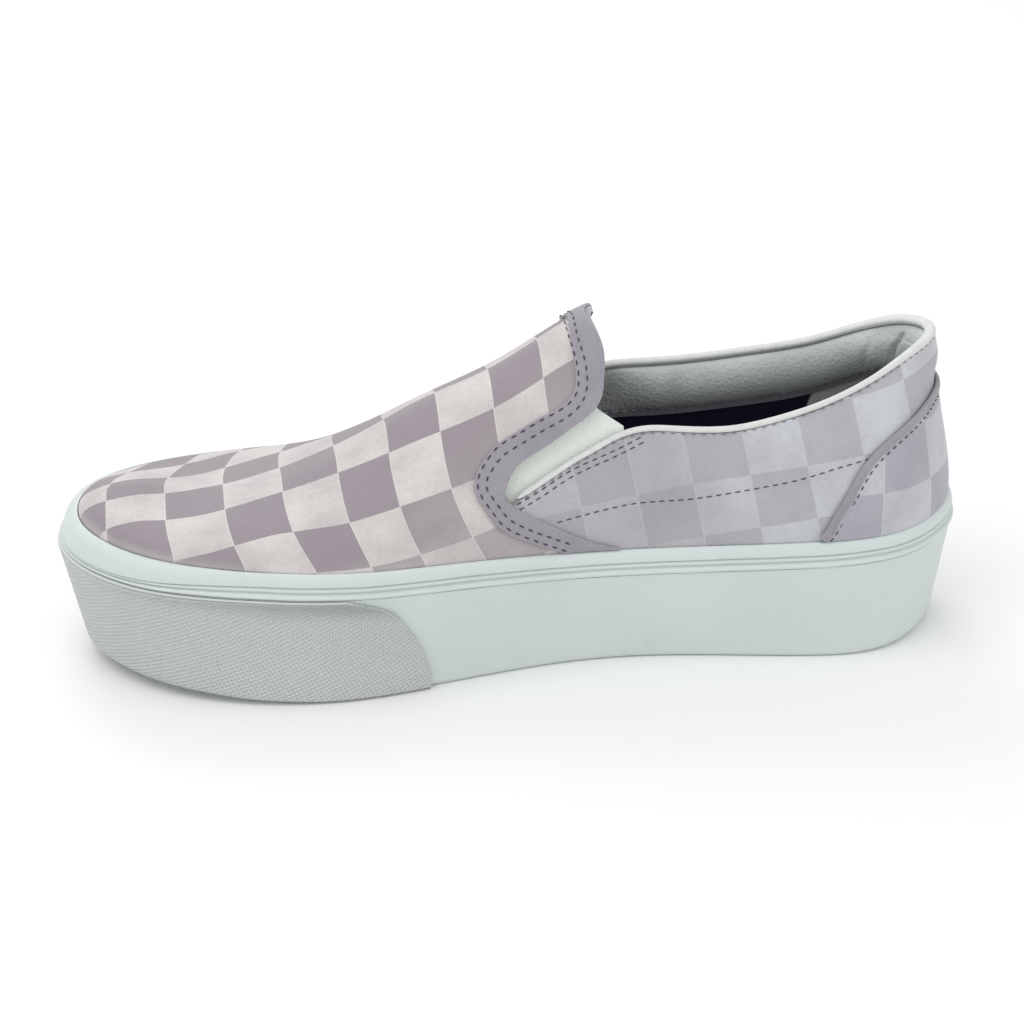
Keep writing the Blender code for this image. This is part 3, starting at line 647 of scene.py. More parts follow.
bumper_out = bumper_grid(CLEARANCE + BUMPER_THICKNESS)
bumper_in = bumper_grid(CLEARANCE)
rim = bumper_grid(CLEARANCE + BUMPER_THICKNESS * 0.72)
high, wide = bumper_out.shape[:2]
edge_soft = np.minimum(1, np.minimum.outer(from_end(high), from_end(wide) / 2))[..., None]
bumper_out = bumper_out * edge_soft + rim * (1 - edge_soft)
bumper = thin_piece("toe_bumper_strip", bumper_out, bumper_in)
along = np.tile(run_length(bumper_out[high // 2]), (high, 1))
down = run_length(bumper_out)
chart = np.stack([along, down], -1).reshape(-1, 2)
set_map(bumper, "strip", np.concatenate([chart, chart]))

bumper_rubber = Finish("bumper_rubber", specular_ior_level=0.4)
along_socket, down_socket = bumper_rubber.map_axes("strip")
ropes = (down_socket - along_socket * BUMPER_SLANT).waves(BUMPER_RIB)
cross = (along_socket + down_socket * BUMPER_SLANT).waves(BUMPER_RIB)
diamonds = ropes * 0.65 + cross * 0.45
field = down_socket.soft(0.0021, 0.0025)
dots = along_socket.waves(BUMPER_RIB) * down_socket.waves(2 * DOT_HEIGHT)
dots = dots * (1 - field) * down_socket.soft(0.0001, 0.0005)
relief = diamonds * field + dots
cloud = bumper_rubber.noise(22.0, 3.0)
# Painted shade: the colour is darkened in the hollows between the diamonds and dots.
hollow = (relief * -1).soft(0.1, 0.9)
patches = cloud.soft(0.35, 0.7) * 0.5
tint = bumper_rubber.mix(patches, (0.66, 0.69, 0.675), (0.60, 0.63, 0.615))
bumper_rubber.colour(bumper_rubber.mix(hollow * 0.35, tint, (0.36, 0.39, 0.37)))
bumper_rubber.rough(cloud * 0.1 + 0.5)
bumper_rubber.normal(bumper_rubber.bump(relief, 0.00035, 1.0))
finished(bumper, bumper_rubber, "toe_bumper")

# The insole: a foam footbed covered in dark cloth, cut to the inside of the upper and laid on
# the platform. It shows as a dark floor through the collar.
INSOLE_THICKNESS = 0.0045
INSOLE_CLOTH = (0.014, 0.008, 0.028)
insole_rows = []
for height, pull in ((0.0, 0.0), (0.7, 0.0), (0.9, 0.0005), (1.0, 0.0014)):
    row = FEATHER - PLAN_NORMAL * (WALL + CLEARANCE + pull)
    row[:, 2] += height * INSOLE_THICKNESS - FOXING_HEIGHT
    insole_rows.append(row)
footbed = loft("footbed", insole_rows)
footbed_cloth = Finish("footbed_cloth", roughness=0.9, sheen_weight=0.3)
x, y, z = footbed_cloth.axes(footbed_cloth.place())
weave = (x * 5200.0).do("SINE") * (y * 5200.0).do("SINE")
fuzz = footbed_cloth.noise(160.0, 4.0)
footbed_cloth.colour(footbed_cloth.mix(fuzz.soft(0.35, 0.7), INSOLE_CLOTH, (0.024, 0.014, 0.045)))
footbed_cloth.normal(footbed_cloth.bump(weave + fuzz * 2.0, 0.00012, 0.6))
finished(footbed, footbed_cloth, "insole")

# The upper: vamp and quarters, checked satin cloth over a lining, sewn and stretched over the
# last. The wall is whole from sole to sole, and open at the collar, the tab's sides and below.
ROWS = 64                   # from feather line to ridge
SKIRT = 0.0080              # how far the cloth runs down inside the foxing
BINDING_HEIGHT = 0.0016
COLLAR_HALF = 0.0280        # half width at which the two collar rises are read
BLOCK_HALF = 0.0700
ABOVE = 1.6
TAB_TURN = 0.012            # stations by which the tab's edge lies further back on the outer side
CHECK = 0.0174              # side of one square
AXIS_START = (-0.11, 0.0, 0.045)    # line inside the shoe that its lining faces
AXIS_END = (0.10, 0.0, 0.045)
TAB_LINING = 0.60           # rise above which the vamp's dark lining shows inside the tab
# Edge band of the vamp, free edge and seam: station and rise of each
BAND = [
    (0.4400, 1.300, 0.4508, 1.300), (0.4440, 1.020, 0.4508, 1.020), (0.4290, 0.970, 0.4520, 0.904),
    (0.4169, 0.894, 0.4490, 0.855), (0.4166, 0.799, 0.4476, 0.750), (0.4222, 0.697, 0.4528, 0.702),
    (0.4335, 0.641, 0.4667, 0.654), (0.4559, 0.575, 0.4885, 0.603), (0.4840, 0.495, 0.5167, 0.533),
    (0.5072, 0.437, 0.5351, 0.487), (0.5225, 0.377, 0.5515, 0.421), (0.5291, 0.317, 0.5620, 0.357),
    (0.5306, 0.277, 0.5641, 0.307), (0.5249, 0.246, 0.5582, 0.253), (0.5146, 0.219, 0.5494, 0.205),
    (0.4974, 0.179, 0.5341, 0.135), (0.4690, 0.120, 0.5155, 0.092), (0.4343, 0.052, 0.4855, 0.038),
    (0.3997, 0.006, 0.4667, 0.006),
]
NOTCH_ROW = 12
# Edge of the quarter and collar: station, rise on the inner side, rise on the outer side
COLLAR = [
    (0.5229, 0.264, 0.264), (0.5080, 0.302, 0.302), (0.4906, 0.346, 0.346), (0.4685, 0.403, 0.400),
    (0.4456, 0.460, 0.450), (0.4230, 0.510, 0.500), (0.3948, 0.565, 0.537), (0.3673, 0.585, 0.557),
    (0.3338, 0.577, 0.560), (0.2789, 0.572, 0.567), (0.2461, 0.592, 0.577), (0.2130, 0.623, 0.589),
    (0.1800, 0.660, 0.602), (0.1464, 0.706, 0.622), (0.1110, 0.760, 0.664), (0.0862, 0.797, 0.704),
    (0.0655, 0.818, 0.742), (0.0300, 0.825, 0.800), (-0.0400, 0.830, 0.830),
]
# How the squares lie on the vamp, measured over the cloth: distance from the first column,
# distance of row 0's edge from the ridge, and height of the rows next to it
CHECK_LAY = [
    (0.000, 0.0206, 0.0130), (0.016, 0.0198, 0.0156), (0.033, 0.0140, 0.0178), (0.050, 0.0085, 0.0192),
    (0.066, 0.0078, 0.0214), (0.084, 0.0120, 0.0203), (0.101, 0.0150, 0.0190), (0.118, 0.0155, 0.0180),
    (0.140, 0.0145, 0.0176),
]
NEAR_SPACING = 0.0150       # height of the rows further down the inner side
FIRST_COLUMN = 0.1200       # x of the first column's edge
CHECK_BEND = 0.115          # columns bend back by this, times the square of rows from the ridge
CREASE_FLOOR = 0.036        # no crease runs below this height
PATTERN_FLOOR = 0.006       # lowest rise of a pattern block
# Soft troughs and ridges of the cloth: side view start and end (x, z), half width, depth
CREASES = [
    (0.016, 0.058, 0.040, 0.046, 0.0035, 0.0005), (0.028, 0.062, 0.052, 0.049, 0.0040, -0.0004),
    (-0.070, 0.044, -0.030, 0.047, 0.0040, 0.0004), (-0.105, 0.050, -0.080, 0.045, 0.0040, 0.0004),
    (-0.048, 0.060, -0.036, 0.070, 0.0035, 0.0003), (0.070, 0.050, 0.090, 0.046, 0.0050, -0.0004),
]


def last_normal(side, angle, climb):
    """Outward normal of the last, level at the feather line and rounded over the ridge."""
    angle, climb, side = np.broadcast_arrays(np.asarray(angle, float), climb, side)
    open_angle = np.clip(angle, 0.004, 0.996)
    here = side_normal(side, open_angle, climb)
    across = side_normal(-side, open_angle, climb)
    near_top = (blend(0.93, 1.0, climb) / 2)[..., None]
    normal = here * (1 - near_top) + across * near_top
    level = (1 - blend(0.0, 0.04, climb))[..., None]
    normal = normal * (1 - level * np.array((0.0, 0.0, 1.0)))
    return normal / np.linalg.norm(normal, axis=-1, keepdims=True)


def on_last(side, angle, climb, offset=0.0):
    """Points on the last moved out by an offset."""
    offset = np.asarray(offset, float)[..., None]
    return last_point(side, angle, climb) + last_normal(side, angle, climb) * offset


def pattern(station, rise):
    """Side view place (x, z) of a pattern point."""
    station = np.asarray(station, float)
    z = sole_top(np.clip(station, 0, 1)) * HEEL_STACK + np.asarray(rise, float) * INSTEP_RISE
    return HEEL_X + station * FEATHER_LENGTH, z


def pattern_place(x, z):
    """Station and rise of a side view place (x, z), the reverse of pattern."""
    station = (x - HEEL_X) / FEATHER_LENGTH
    return station, (z - sole_top(np.clip(station, 0, 1)) * HEEL_STACK) / INSTEP_RISE


def smooth_line(points, count):
    """Evenly spaced points on a smooth curve through a few."""
    points = np.asarray(points, float)
    along = run_length(points)
    fine = Curve(along, points)(np.linspace(0, along[-1], 40 * len(points)))
    length = run_length(fine)
    even = np.linspace(0, length[-1], count)
    return np.stack([np.interp(even, length, column) for column in fine.T], -1)


def dress(points):
    """How far out each point moves for the soft creases."""
    out = np.zeros(points.shape[:-1])
    for x0, z0, x1, z1, width, depth in CREASES:
        run = np.array((x1 - x0, z1 - z0))
        length = float(np.linalg.norm(run))
        run /= length
        dx, dz = points[..., 0] - x0, points[..., 2] - z0
        far = dx * run[0] + dz * run[1]
        off = dx * run[1] - dz * run[0]
        ends = blend(-0.2 * length, 0.3 * length, far) * (1 - blend(0.7 * length, 1.2 * length, far))
        out -= depth * np.exp(-(off / width) ** 2) * ends
    return out * (points[..., 2] > CREASE_FLOOR)


def dome_shell(name, outside, inside, skirt):
    """Closed shell between two offsets of the whole last, open underneath."""
    points, faces, starts = [], [], []
    total = 0
    for offset in (outside, inside):
        start = total
        starts.append(start)
        base = FEATHER + PLAN_NORMAL * offset
        rows = [base - (0, 0, skirt), base - (0, 0, skirt / 2)]
        for climb in np.arange(ROWS) / ROWS:
            row = on_last(SIDES, ANGLES, np.full_like(ANGLES, climb), offset) if climb else base
            rows.append(row + last_normal(SIDES, ANGLES, climb) * dress(row)[:, None] * (climb > 0))
        top = on_last(1, ANGLES[:COLUMNS + 1], 1.0, offset)
        points += rows + [top]
        faces += grid_faces(len(rows), LOOP, start, around=True)
        below = start + (len(rows) - 1) * LOOP
        peak = below + LOOP
        for k in range(COLUMNS):
            left, right = below + (LOOP - k) % LOOP, below + (LOOP - k - 1) % LOOP
            faces.append((below + k, below + k + 1, peak + k + 1, peak + k))
            faces.append((left, peak + k, peak + k + 1, right))
        total += len(rows) * LOOP + COLUMNS + 1
    faces += [(k, (k + 1) % LOOP, starts[1] + (k + 1) % LOOP, starts[1] + k) for k in range(LOOP)]
    return make_piece(name, np.concatenate(points), faces)


def pattern_block(name, rows, turn=0.0):
    """Tool: a side view outline run across the shoe, ruled between its two collar rises.

    A turn takes the tab's edge back towards the outer side.
    """
    points = []
    for y in (BLOCK_HALF, -BLOCK_HALF):
        share = (y / COLLAR_HALF + 1) / 2
        for station, inner, outer in rows:
            back = turn * (1 - share) * float(blend(0.78, 0.95, inner)) * (station > 0.3)
            x, z = pattern(station - back, outer + (inner - outer) * share)
            points.append((float(x), y, float(z)))
    count = len(rows)
    faces = [tuple(range(count)), tuple(range(2 * count - 1, count - 1, -1))]
    for k in range(count):
        n = (k + 1) % count
        fore, aft = (k, n) if rows[k][0] > rows[n][0] else (n, k)
        faces.append((fore, aft, count + aft))
        faces.append((fore, count + aft, count + fore))
    return make_piece(name, points, faces)


def lowered(rows, depth):
    """Rows of a pattern line, moved down."""
    drop = depth / INSTEP_RISE
    return [(row[0], row[1] - drop, row[2] - drop) for row in rows]


def triple(rows):
    """Rows of a pattern line with one rise for both sides."""
    return [(row[0], row[1], row[1]) for row in rows]


collar_line = smooth_line(COLLAR, 160)
free_edge = smooth_line([row[:2] for row in BAND[:NOTCH_ROW + 1]], 90)
full_edge = smooth_line([row[:2] for row in BAND], 150)
seam_edge = smooth_line([row[2:] for row in BAND], 150)

upper = dome_shell("cloth_upper", 0.0, -WALL, SKIRT)
opening = triple(free_edge) + lowered(collar_line, BINDING_HEIGHT + CLEARANCE)
opening += [(COLLAR[-1][0], ABOVE, ABOVE), (BAND[0][0], ABOVE, ABOVE)]
apply_cut(upper, pattern_block("upper_opening", opening, TAB_TURN), "DIFFERENCE")

profile_angles = np.linspace(0, 1, 400)
profile = last_point(1, profile_angles, 1.0)
nose = last_point(1, 1.0, np.linspace(1, 0, 60))
profile = np.concatenate([profile, nose[1:]])
profile_length = run_length(profile[:, ::2])
check_row = table_curve(CHECK_LAY)
check_height = table_curve(CHECK_LAY, 2)


def corners_of(piece):
    """Vertices of a piece, in the heel's frame."""
    places = np.zeros(len(piece.data.vertices) * 3, np.float32)
    piece.data.vertices.foreach_get("co", places)
    return places.reshape(-1, 3) - CENTRE


def sheen_contrast_map(piece):
    """Map of how level the cloth lies, for painted sheen: the squares are painted with more contrast where
    it looks up.
    """
    normals = np.zeros(len(piece.data.vertices) * 3, np.float32)
    piece.data.vertices.foreach_get("normal", normals)
    level = blend(0.30, 0.85, normals.reshape(-1, 3)[:, 2])
    set_map(piece, "tone", np.stack([level, level], -1))


def vamp_chart(points):
    """Column and row of the squares at points of the vamp, counted over the cloth."""
    length = np.interp(points[:, 0], profile[:, 0], profile_length)
    start = float(np.interp(FIRST_COLUMN, profile[:, 0], profile_length))
    along = start - length
    top_y = np.interp(points[:, 0], profile[:, 0], profile[:, 1])
    top_z = np.interp(points[:, 0], profile[:, 0], profile[:, 2])
    across = np.hypot(points[:, 1] - top_y, points[:, 2] - top_z) * np.sign(points[:, 1] - top_y)
    edge = check_row(np.clip(along, 0, 0.14))
    height = check_height(np.clip(along, 0, 0.14))
    row = (edge - across) / height
    row = np.where(row < -1, (edge + height - across) / NEAR_SPACING - 1, row)
    bend = CHECK_BEND * (np.maximum(0, -row) ** 2 + np.maximum(0, row - 1.2) ** 2)
    return np.stack([along / CHECK + 0.13 - bend, row], -1)


QUARTER_COLUMN = -0.0336    # x and z where a column line crosses the row line of the quarter
QUARTER_ROW = 0.0552
QUARTER_TURN = (0.22, -0.17)    # slant of the columns, and of the rows


def quarter_chart(points):
    """Column and row of the squares at points of the quarters."""
    dx, dz = points[:, 0] - QUARTER_COLUMN, points[:, 2] - QUARTER_ROW
    return np.stack([(QUARTER_TURN[0] * dz - dx) / CHECK, (dz - QUARTER_TURN[1] * dx) / CHECK], -1)


def band_middle(rise):
    """Station of the middle of the vamp's edge band, at a rise."""
    rows = sorted(((row[1] + row[3]) / 2, (row[0] + row[2]) / 2) for row in BAND)
    return np.interp(rise, [row[0] for row in rows], [row[1] for row in rows])


def checked_cloth(name, light, dark, rear_sheen_light=None):
    """Satin cloth woven in light and dark squares of one yarn, with fine twill and painted sheen."""
    finish = Finish(name, sheen_weight=0.15, sheen_roughness=0.4, specular_ior_level=0.45)
    column, row = finish.map_axes("chart")
    both = column.do("FLOOR") + row.do("FLOOR")
    dim = (both * 0.5).do("FRACT") * 2.0
    # Painted sheen: the squares' contrast is painted stronger where the cloth faces up, weaker on its steep
    # sides.
    strength = finish.map_axes("tone")[0] * 0.42 + 0.58
    twill = (column + row * 0.62).waves(1 / 20)
    thread = (row - column * 0.2).waves(1 / 46)
    cloud = finish.noise(60.0, 4.0)
    fuzz = finish.noise(700.0, 3.0)
    edge_c = (column.do("FRACT") - 0.5).do("ABSOLUTE").soft(0.485, 0.5)
    # Painted sheen: given a rear colour, the light squares are painted lighter towards the back of the shoe.
    sheened_light = light
    if rear_sheen_light is not None:
        x = finish.axes(finish.place())[0]
        sheened_light = finish.mix((x * -1).soft(0.040, 0.080), light, rear_sheen_light)
    base = finish.mix(dim * strength, sheened_light, dark)
    shade = finish.mix(cloud.soft(0.3, 0.75) * 0.35, base, tuple(c * 0.86 for c in dark))
    lines = finish.mix(edge_c * 0.7, shade, tuple(min(1, c * 1.15) for c in light))
    tone = twill.soft(-0.8, 1.0) * (1 - dim) * 0.05 + fuzz.soft(0.3, 0.8) * 0.14
    finish.colour(finish.mix(tone, lines, tuple(c * 0.72 for c in dark)))
    finish.rough(dim * 0.14 + 0.44 + cloud * 0.08)
    weave = twill * (0.5 - dim * 0.3) + thread * 0.4 + fuzz * 2.0
    finish.normal(finish.bump(weave, 0.00006, 0.5))
    return finish


LIGHT_SQUARE = (0.64, 0.60, 0.585)
DARK_SQUARE = (0.285, 0.250, 0.275)
vamp_cloth = checked_cloth("vamp_cloth", LIGHT_SQUARE, DARK_SQUARE)
# Painted sheen: the quarters' cloth is the vamp's, painted with closer, duller colours for how the light
# falls on the sides.
quarter_cloth = checked_cloth(
    "quarter_cloth", (0.46, 0.455, 0.475), (0.35, 0.335, 0.37), (0.57, 0.59, 0.62))


def lining_finish(name, colour, shade, grain, strength):
    """Thin lining leather or cloth: fine grain, and wider clouds where it was rubbed."""
    finish = Finish(name, roughness=0.62, specular_ior_level=0.35)
    values = {"Vector": finish.place(), "Scale": grain}
    cells = finish.node("ShaderNodeTexVoronoi", {"feature": "F1"}, values)
    pores = Sum(finish, cells.outputs["Distance"])
    cloud = finish.noise(55.0, 4.0)
    finish.colour(finish.mix(cloud.soft(0.3, 0.75), colour, shade))
    finish.rough(cloud * 0.2 + 0.5)
    finish.normal(finish.bump(pores + cloud * 1.5, strength, 0.6))
    return finish


SOCK_LINE = (0.0535, 0.0058, 1.029)     # height of the dark sock's edge against x, as a quadratic
SOCK_END = -0.0975          # the pale lining runs down behind this
quarter_lining = lining_finish(
    "quarter_lining", (0.47, 0.50, 0.46), (0.36, 0.385, 0.35), 1100.0, 0.0002)
x, y, z = quarter_lining.axes(quarter_lining.place())
under = x * x * SOCK_LINE[2] + x * SOCK_LINE[1] + SOCK_LINE[0] - z
pale = quarter_lining.shader.inputs["Base Color"].links[0].from_socket
sock = under.soft(-0.0002, 0.0002) * (x + z * 0.25 - SOCK_END).soft(0.0135, 0.0145)
quarter_lining.colour(quarter_lining.mix(sock, pale, (0.010, 0.005, 0.026)))
vamp_lining = lining_finish("vamp_lining", (0.10, 0.085, 0.095), (0.07, 0.06, 0.07), 1300.0, 0.0002)

places = corners_of(upper)
stations, rises = pattern_place(places[:, 0], places[:, 2])
is_vamp = stations > band_middle(rises)
chart = np.where(is_vamp[:, None], vamp_chart(places), quarter_chart(places))
set_map(upper, "chart", chart)
sheen_contrast_map(upper)
for finish in (vamp_cloth, quarter_cloth, vamp_lining, quarter_lining):
    upper.data.materials.append(finish.material)
middle = np.array([face.center for face in upper.data.polygons]) - CENTRE
facing = np.array([face.normal for face in upper.data.polygons])
face_station, face_rise = pattern_place(middle[:, 0], middle[:, 2])
axis = np.clip(middle, AXIS_START, AXIS_END)
inward = (facing * (axis - middle)).sum(axis=1) > 0
under_tab = inward & (face_rise > TAB_LINING) & (face_station > 0.39)
kinds = np.where((face_station > band_middle(face_rise)) | under_tab, 0, 1) + 2 * inward
upper.data.polygons.foreach_set("material_index", kinds.astype(np.int32))
finished(upper, None, "upper")

# The gores: short panels of woven elastic sewn behind the slots between vamp and quarters, so
# that the shoe opens for the foot.
GORE_THICKNESS = 0.0010
GORE_LAP = 0.0040
GORE_ROWS = 7
GORE_TOP_ROW = 5
BINDING_LAP = 0.0006
PATCH_ROWS = 90


def side_patch(name, side, span, outside, inside, columns=90, over=False):
    """Closed sheet on one side of the last, or over the ridge, between two stations."""
    sides = np.full(PATCH_ROWS, side)
    climbs = np.linspace(0.0, 1.0, PATCH_ROWS)
    if over:
        sides = np.concatenate([sides, -sides[1:]])
        climbs = np.concatenate([climbs, climbs[-2::-1]])
    angles = np.linspace(*angle_of(np.array(span)), columns)
    grid = np.broadcast_arrays(sides[:, None], angles, climbs[:, None])
    sheets = []
    for offset in (outside, inside):
        sheet = on_last(*grid, offset)
        sheets.append(sheet + last_normal(*grid) * dress(sheet)[..., None])
    return thin_piece(name, *sheets)


gore_cloth = Finish("gore_elastic", roughness=0.75, sheen_weight=0.3)
x, y, z = gore_cloth.axes(gore_cloth.place())
ribs = (x * 0.83 + z * 0.55).waves(0.0007)
picks = (z * 0.83 - x * 0.55).waves(0.0006)
fuzz = gore_cloth.noise(400.0, 3.0)
tone = ribs.soft(-1.0, 0.3) * 0.6 + fuzz * 0.3
gore_cloth.colour(gore_cloth.mix(tone, (0.72, 0.77, 0.72), (0.80, 0.85, 0.81)))
gore_cloth.normal(gore_cloth.bump(ribs + picks * 0.4, 0.00005, 0.6))
gore_out = -WALL - BINDING_LAP - CLEARANCE
lap = GORE_LAP / FEATHER_LENGTH
gore_front = smooth_line([row[:2] for row in BAND[GORE_TOP_ROW:NOTCH_ROW + 1]], 40) + (lap, 0)
gore_low = lowered(smooth_line(COLLAR[:GORE_ROWS], 40), GORE_LAP)
gore_low[0] = (gore_front[-1][0], gore_low[0][1], gore_low[0][2])
gore_outline = triple(gore_front) + gore_low + [COLLAR[GORE_ROWS - 1]]
for name, side in (("gore_inner", 1), ("gore_outer", -1)):
    gore = side_patch(name + "_elastic", side, (0.36, 0.58), gore_out, gore_out - GORE_THICKNESS)
    apply_cut(gore, pattern_block(name + "_block", gore_outline), "INTERSECT")
    finished(gore, gore_cloth, name)

# The vamp's edge band: a folded strip of plain cloth laid over the throat, from the sole up
# over the tab and down to the sole again, with two rows of stitches.
BAND_THICKNESS = 0.0008
YARN_PITCH = 0.00065


def plain_cloth_finish(name, colour, shade):
    """Plain woven cloth of one yarn."""
    finish = Finish(name, roughness=0.8, sheen_weight=0.35, sheen_roughness=0.5)
    x, y, z = finish.axes(finish.place())
    warp = (x + y * 0.6).waves(YARN_PITCH)
    weft = (z + y * 0.6).waves(YARN_PITCH)
    cloud = finish.noise(70.0, 4.0)
    fuzz = finish.noise(900.0, 2.0)
    worn = cloud.soft(0.3, 0.75) * 0.6 + fuzz.soft(0.4, 0.8) * 0.3
    finish.colour(finish.mix(worn, colour, shade))
    finish.normal(finish.bump(warp * weft + fuzz, 0.00012, 0.6))
    return finish


plain_cloth = plain_cloth_finish("plain_cloth", (0.335, 0.315, 0.355), (0.255, 0.240, 0.280))
band_out = CLEARANCE + BAND_THICKNESS
band = side_patch("throat_band", 1, (0.37, 0.62), band_out, CLEARANCE, 160, over=True)
band_outline = triple(full_edge) + triple(seam_edge[::-1])
apply_cut(band, pattern_block("band_block", band_outline, TAB_TURN), "INTERSECT")
finished(band, plain_cloth, "vamp_band")

# The collar binding: white tape rolled over the raw edge of the quarters, from the foot of one
# gore round the heel to the other.
BINDING_WHITE = (0.70, 0.72, 0.70)
BINDING_END = 0.5155        # station of its ends, at the foot of the gores
BINDING_POINTS = 300


def collar_height(station, y):
    """Height of the collar's edge at a station, ruled between its inner and outer rises."""
    at = collar_line[::-1, 0]
    inner = np.interp(station, at, collar_line[::-1, 1])
    outer = np.interp(station, at, collar_line[::-1, 2])
    return pattern(station, outer + (inner - outer) * (y / COLLAR_HALF + 1) / 2)[1]


def collar_climb(side, angle, drop=0.0):
    """Climb at which the collar's edge, or a line below it, crosses the last."""
    low, high = np.zeros_like(angle), np.ones_like(angle)
    for _ in range(40):
        middle = (low + high) / 2
        point = last_point(side, angle, middle)
        station = (point[..., 0] - HEEL_X) / FEATHER_LENGTH
        under = point[..., 2] < collar_height(station, point[..., 1]) - drop
        low = np.where(under, middle, low)
        high = np.where(under, high, middle)
    return (low + high) / 2


def collar_path(end_station, count):
    """Side and angle of points round the collar, from the inner front to the outer front."""
    end = float(angle_of(end_station))
    spread = np.linspace(end, -end, 4 * count)
    side = np.where(spread >= 0, 1, -1)
    angle = np.abs(spread)
    points = last_point(side, angle, collar_climb(side, angle))
    length = run_length(points)
    even = np.interp(np.linspace(0, length[-1], count), length, spread)
    return np.where(even >= 0, 1, -1), np.abs(even)


def sweep(name, centres, ups, outs, section, scale):
    """Tube with a section of (up, out) offsets along a line of centres, its ends closed."""
    offsets = ups[:, None] * section[:, :1] + outs[:, None] * section[:, 1:]
    rings = centres[:, None] + offsets * np.broadcast_to(scale, len(centres))[:, None, None]
    high, wide = rings.shape[:2]
    faces = grid_faces(high, wide, around=True)
    faces += [tuple(range(wide)), tuple((high - 1) * wide + k for k in range(wide))]
    return make_piece(name, rings.reshape(-1, 3), faces)


def across_of(points, outs):
    """Directions across a line of points, in the surface that it lies on."""
    across = np.cross(outs, np.gradient(points, axis=0))
    return across / np.linalg.norm(across, axis=1, keepdims=True)


def oval(half_up, half_out, count=14, power=2.6):
    """Rounded section, fuller than an ellipse."""
    turn = np.linspace(0, 2 * math.pi, count, endpoint=False)
    up, out = np.cos(turn), np.sin(turn)
    reach = (np.abs(up) ** power + np.abs(out) ** power) ** (-1 / power)
    return np.stack([up * reach * half_up, out * reach * half_out], -1)


binding_side, binding_angle = collar_path(BINDING_END, BINDING_POINTS)
binding_climb = collar_climb(binding_side, binding_angle, BINDING_HEIGHT * 0.55)
outs = last_normal(binding_side, binding_angle, binding_climb)
binding_middle = last_point(binding_side, binding_angle, binding_climb) - outs * (WALL / 2)
ups = across_of(binding_middle, outs)
ups *= np.where(ups[:, 2:] < 0, -1, 1)
binding_section = oval(BINDING_HEIGHT * 0.56, WALL / 2 + BINDING_LAP * 0.6, 16)
heel_swell = 1 + 0.30 * np.exp(-((station_of(binding_angle) - 0.02) / 0.06) ** 2)
ends = np.clip(from_end(BINDING_POINTS) / 4 + 0.4, 0, 1)
binding = sweep("collar_tape", binding_middle, ups, outs, binding_section, heel_swell * ends)
tape = Finish("binding_tape", roughness=0.7, sheen_weight=0.25)
x, y, z = tape.axes(tape.place())
ribs = (x + z * 0.4).waves(0.0007)
fuzz = tape.noise(300.0, 3.0)
tape.colour(tape.mix(fuzz.soft(0.3, 0.8) * 0.5, BINDING_WHITE, (0.60, 0.60, 0.60)))
tape.normal(tape.bump(ribs + fuzz, 0.0001, 0.6))
finished(binding, tape, "collar_binding")

# The collar padding: foam under soft pale lining leather, rolled round the inside of the
# collar and closed by a stitched seam below. It bulges between its seams and creases where the
# collar bends, most at the back corners.
PADDING_THICKNESS = 0.0045
PADDING_DEPTH = 0.0160
PADDING_END = 0.3900        # station where it runs out towards the gores
PADDING_COLUMNS = 320
PADDING_ROWS = 36
WRINKLES = 9                # soft creases round the padding
PADDING_SEED = 7
FOLD_PLACE = 0.545          # share of the way round at which the padding folds over behind
FOLD_DEPTH = 0.45

pad_side, pad_angle = collar_path(PADDING_END, PADDING_COLUMNS)
down = np.linspace(0, 1, PADDING_ROWS)
first_climb = collar_climb(pad_side, pad_angle, BINDING_HEIGHT + 2 * CLEARANCE)
last_climb = collar_climb(pad_side, pad_angle, BINDING_HEIGHT + 2 * CLEARANCE + PADDING_DEPTH)
pad_climbs = first_climb[None] + (last_climb - first_climb)[None] * down[:, None]
pad_sides = np.broadcast_to(pad_side, pad_climbs.shape)
pad_angles = np.broadcast_to(pad_angle, pad_climbs.shape)
bulge = np.clip(np.sin(math.pi * down) ** 0.55 * (1 - 0.12 * down), 0.04, 1)[:, None]
run = np.linspace(0, 1, PADDING_COLUMNS)[None]
taper = np.clip(blend(-0.02, 0.09, run) * (1 - blend(0.91, 1.02, run)), 0.12, 1)
draw = np.random.default_rng(PADDING_SEED)
creases = np.zeros_like(pad_climbs)
for _ in range(WRINKLES):
    place, lean_over = draw.uniform(0.1, 0.9), draw.uniform(-0.02, 0.02)
    width, depth = draw.uniform(0.004, 0.010), draw.uniform(0.05, 0.16)
    creases += depth * np.exp(-((run - place - lean_over * (down[:, None] - 0.5)) / width) ** 2)
back_fold = FOLD_DEPTH * np.exp(-((run - FOLD_PLACE - 0.01 * down[:, None]) / 0.005) ** 2)
back_fold *= blend(0.02, 0.2, down)[:, None]
thick = PADDING_THICKNESS * bulge * taper * (1 - creases - back_fold)
wall_offset = -WALL - CLEARANCE
pad_grid = (pad_sides, pad_angles, pad_climbs)
padding = thin_piece(
    "padded_collar", on_last(*pad_grid, wall_offset), on_last(*pad_grid, wall_offset - thick))
lining_leather = lining_finish(
    "lining_leather", (0.60, 0.64, 0.61), (0.50, 0.54, 0.51), 900.0, 0.00030)
finished(padding, lining_leather, "collar_padding")

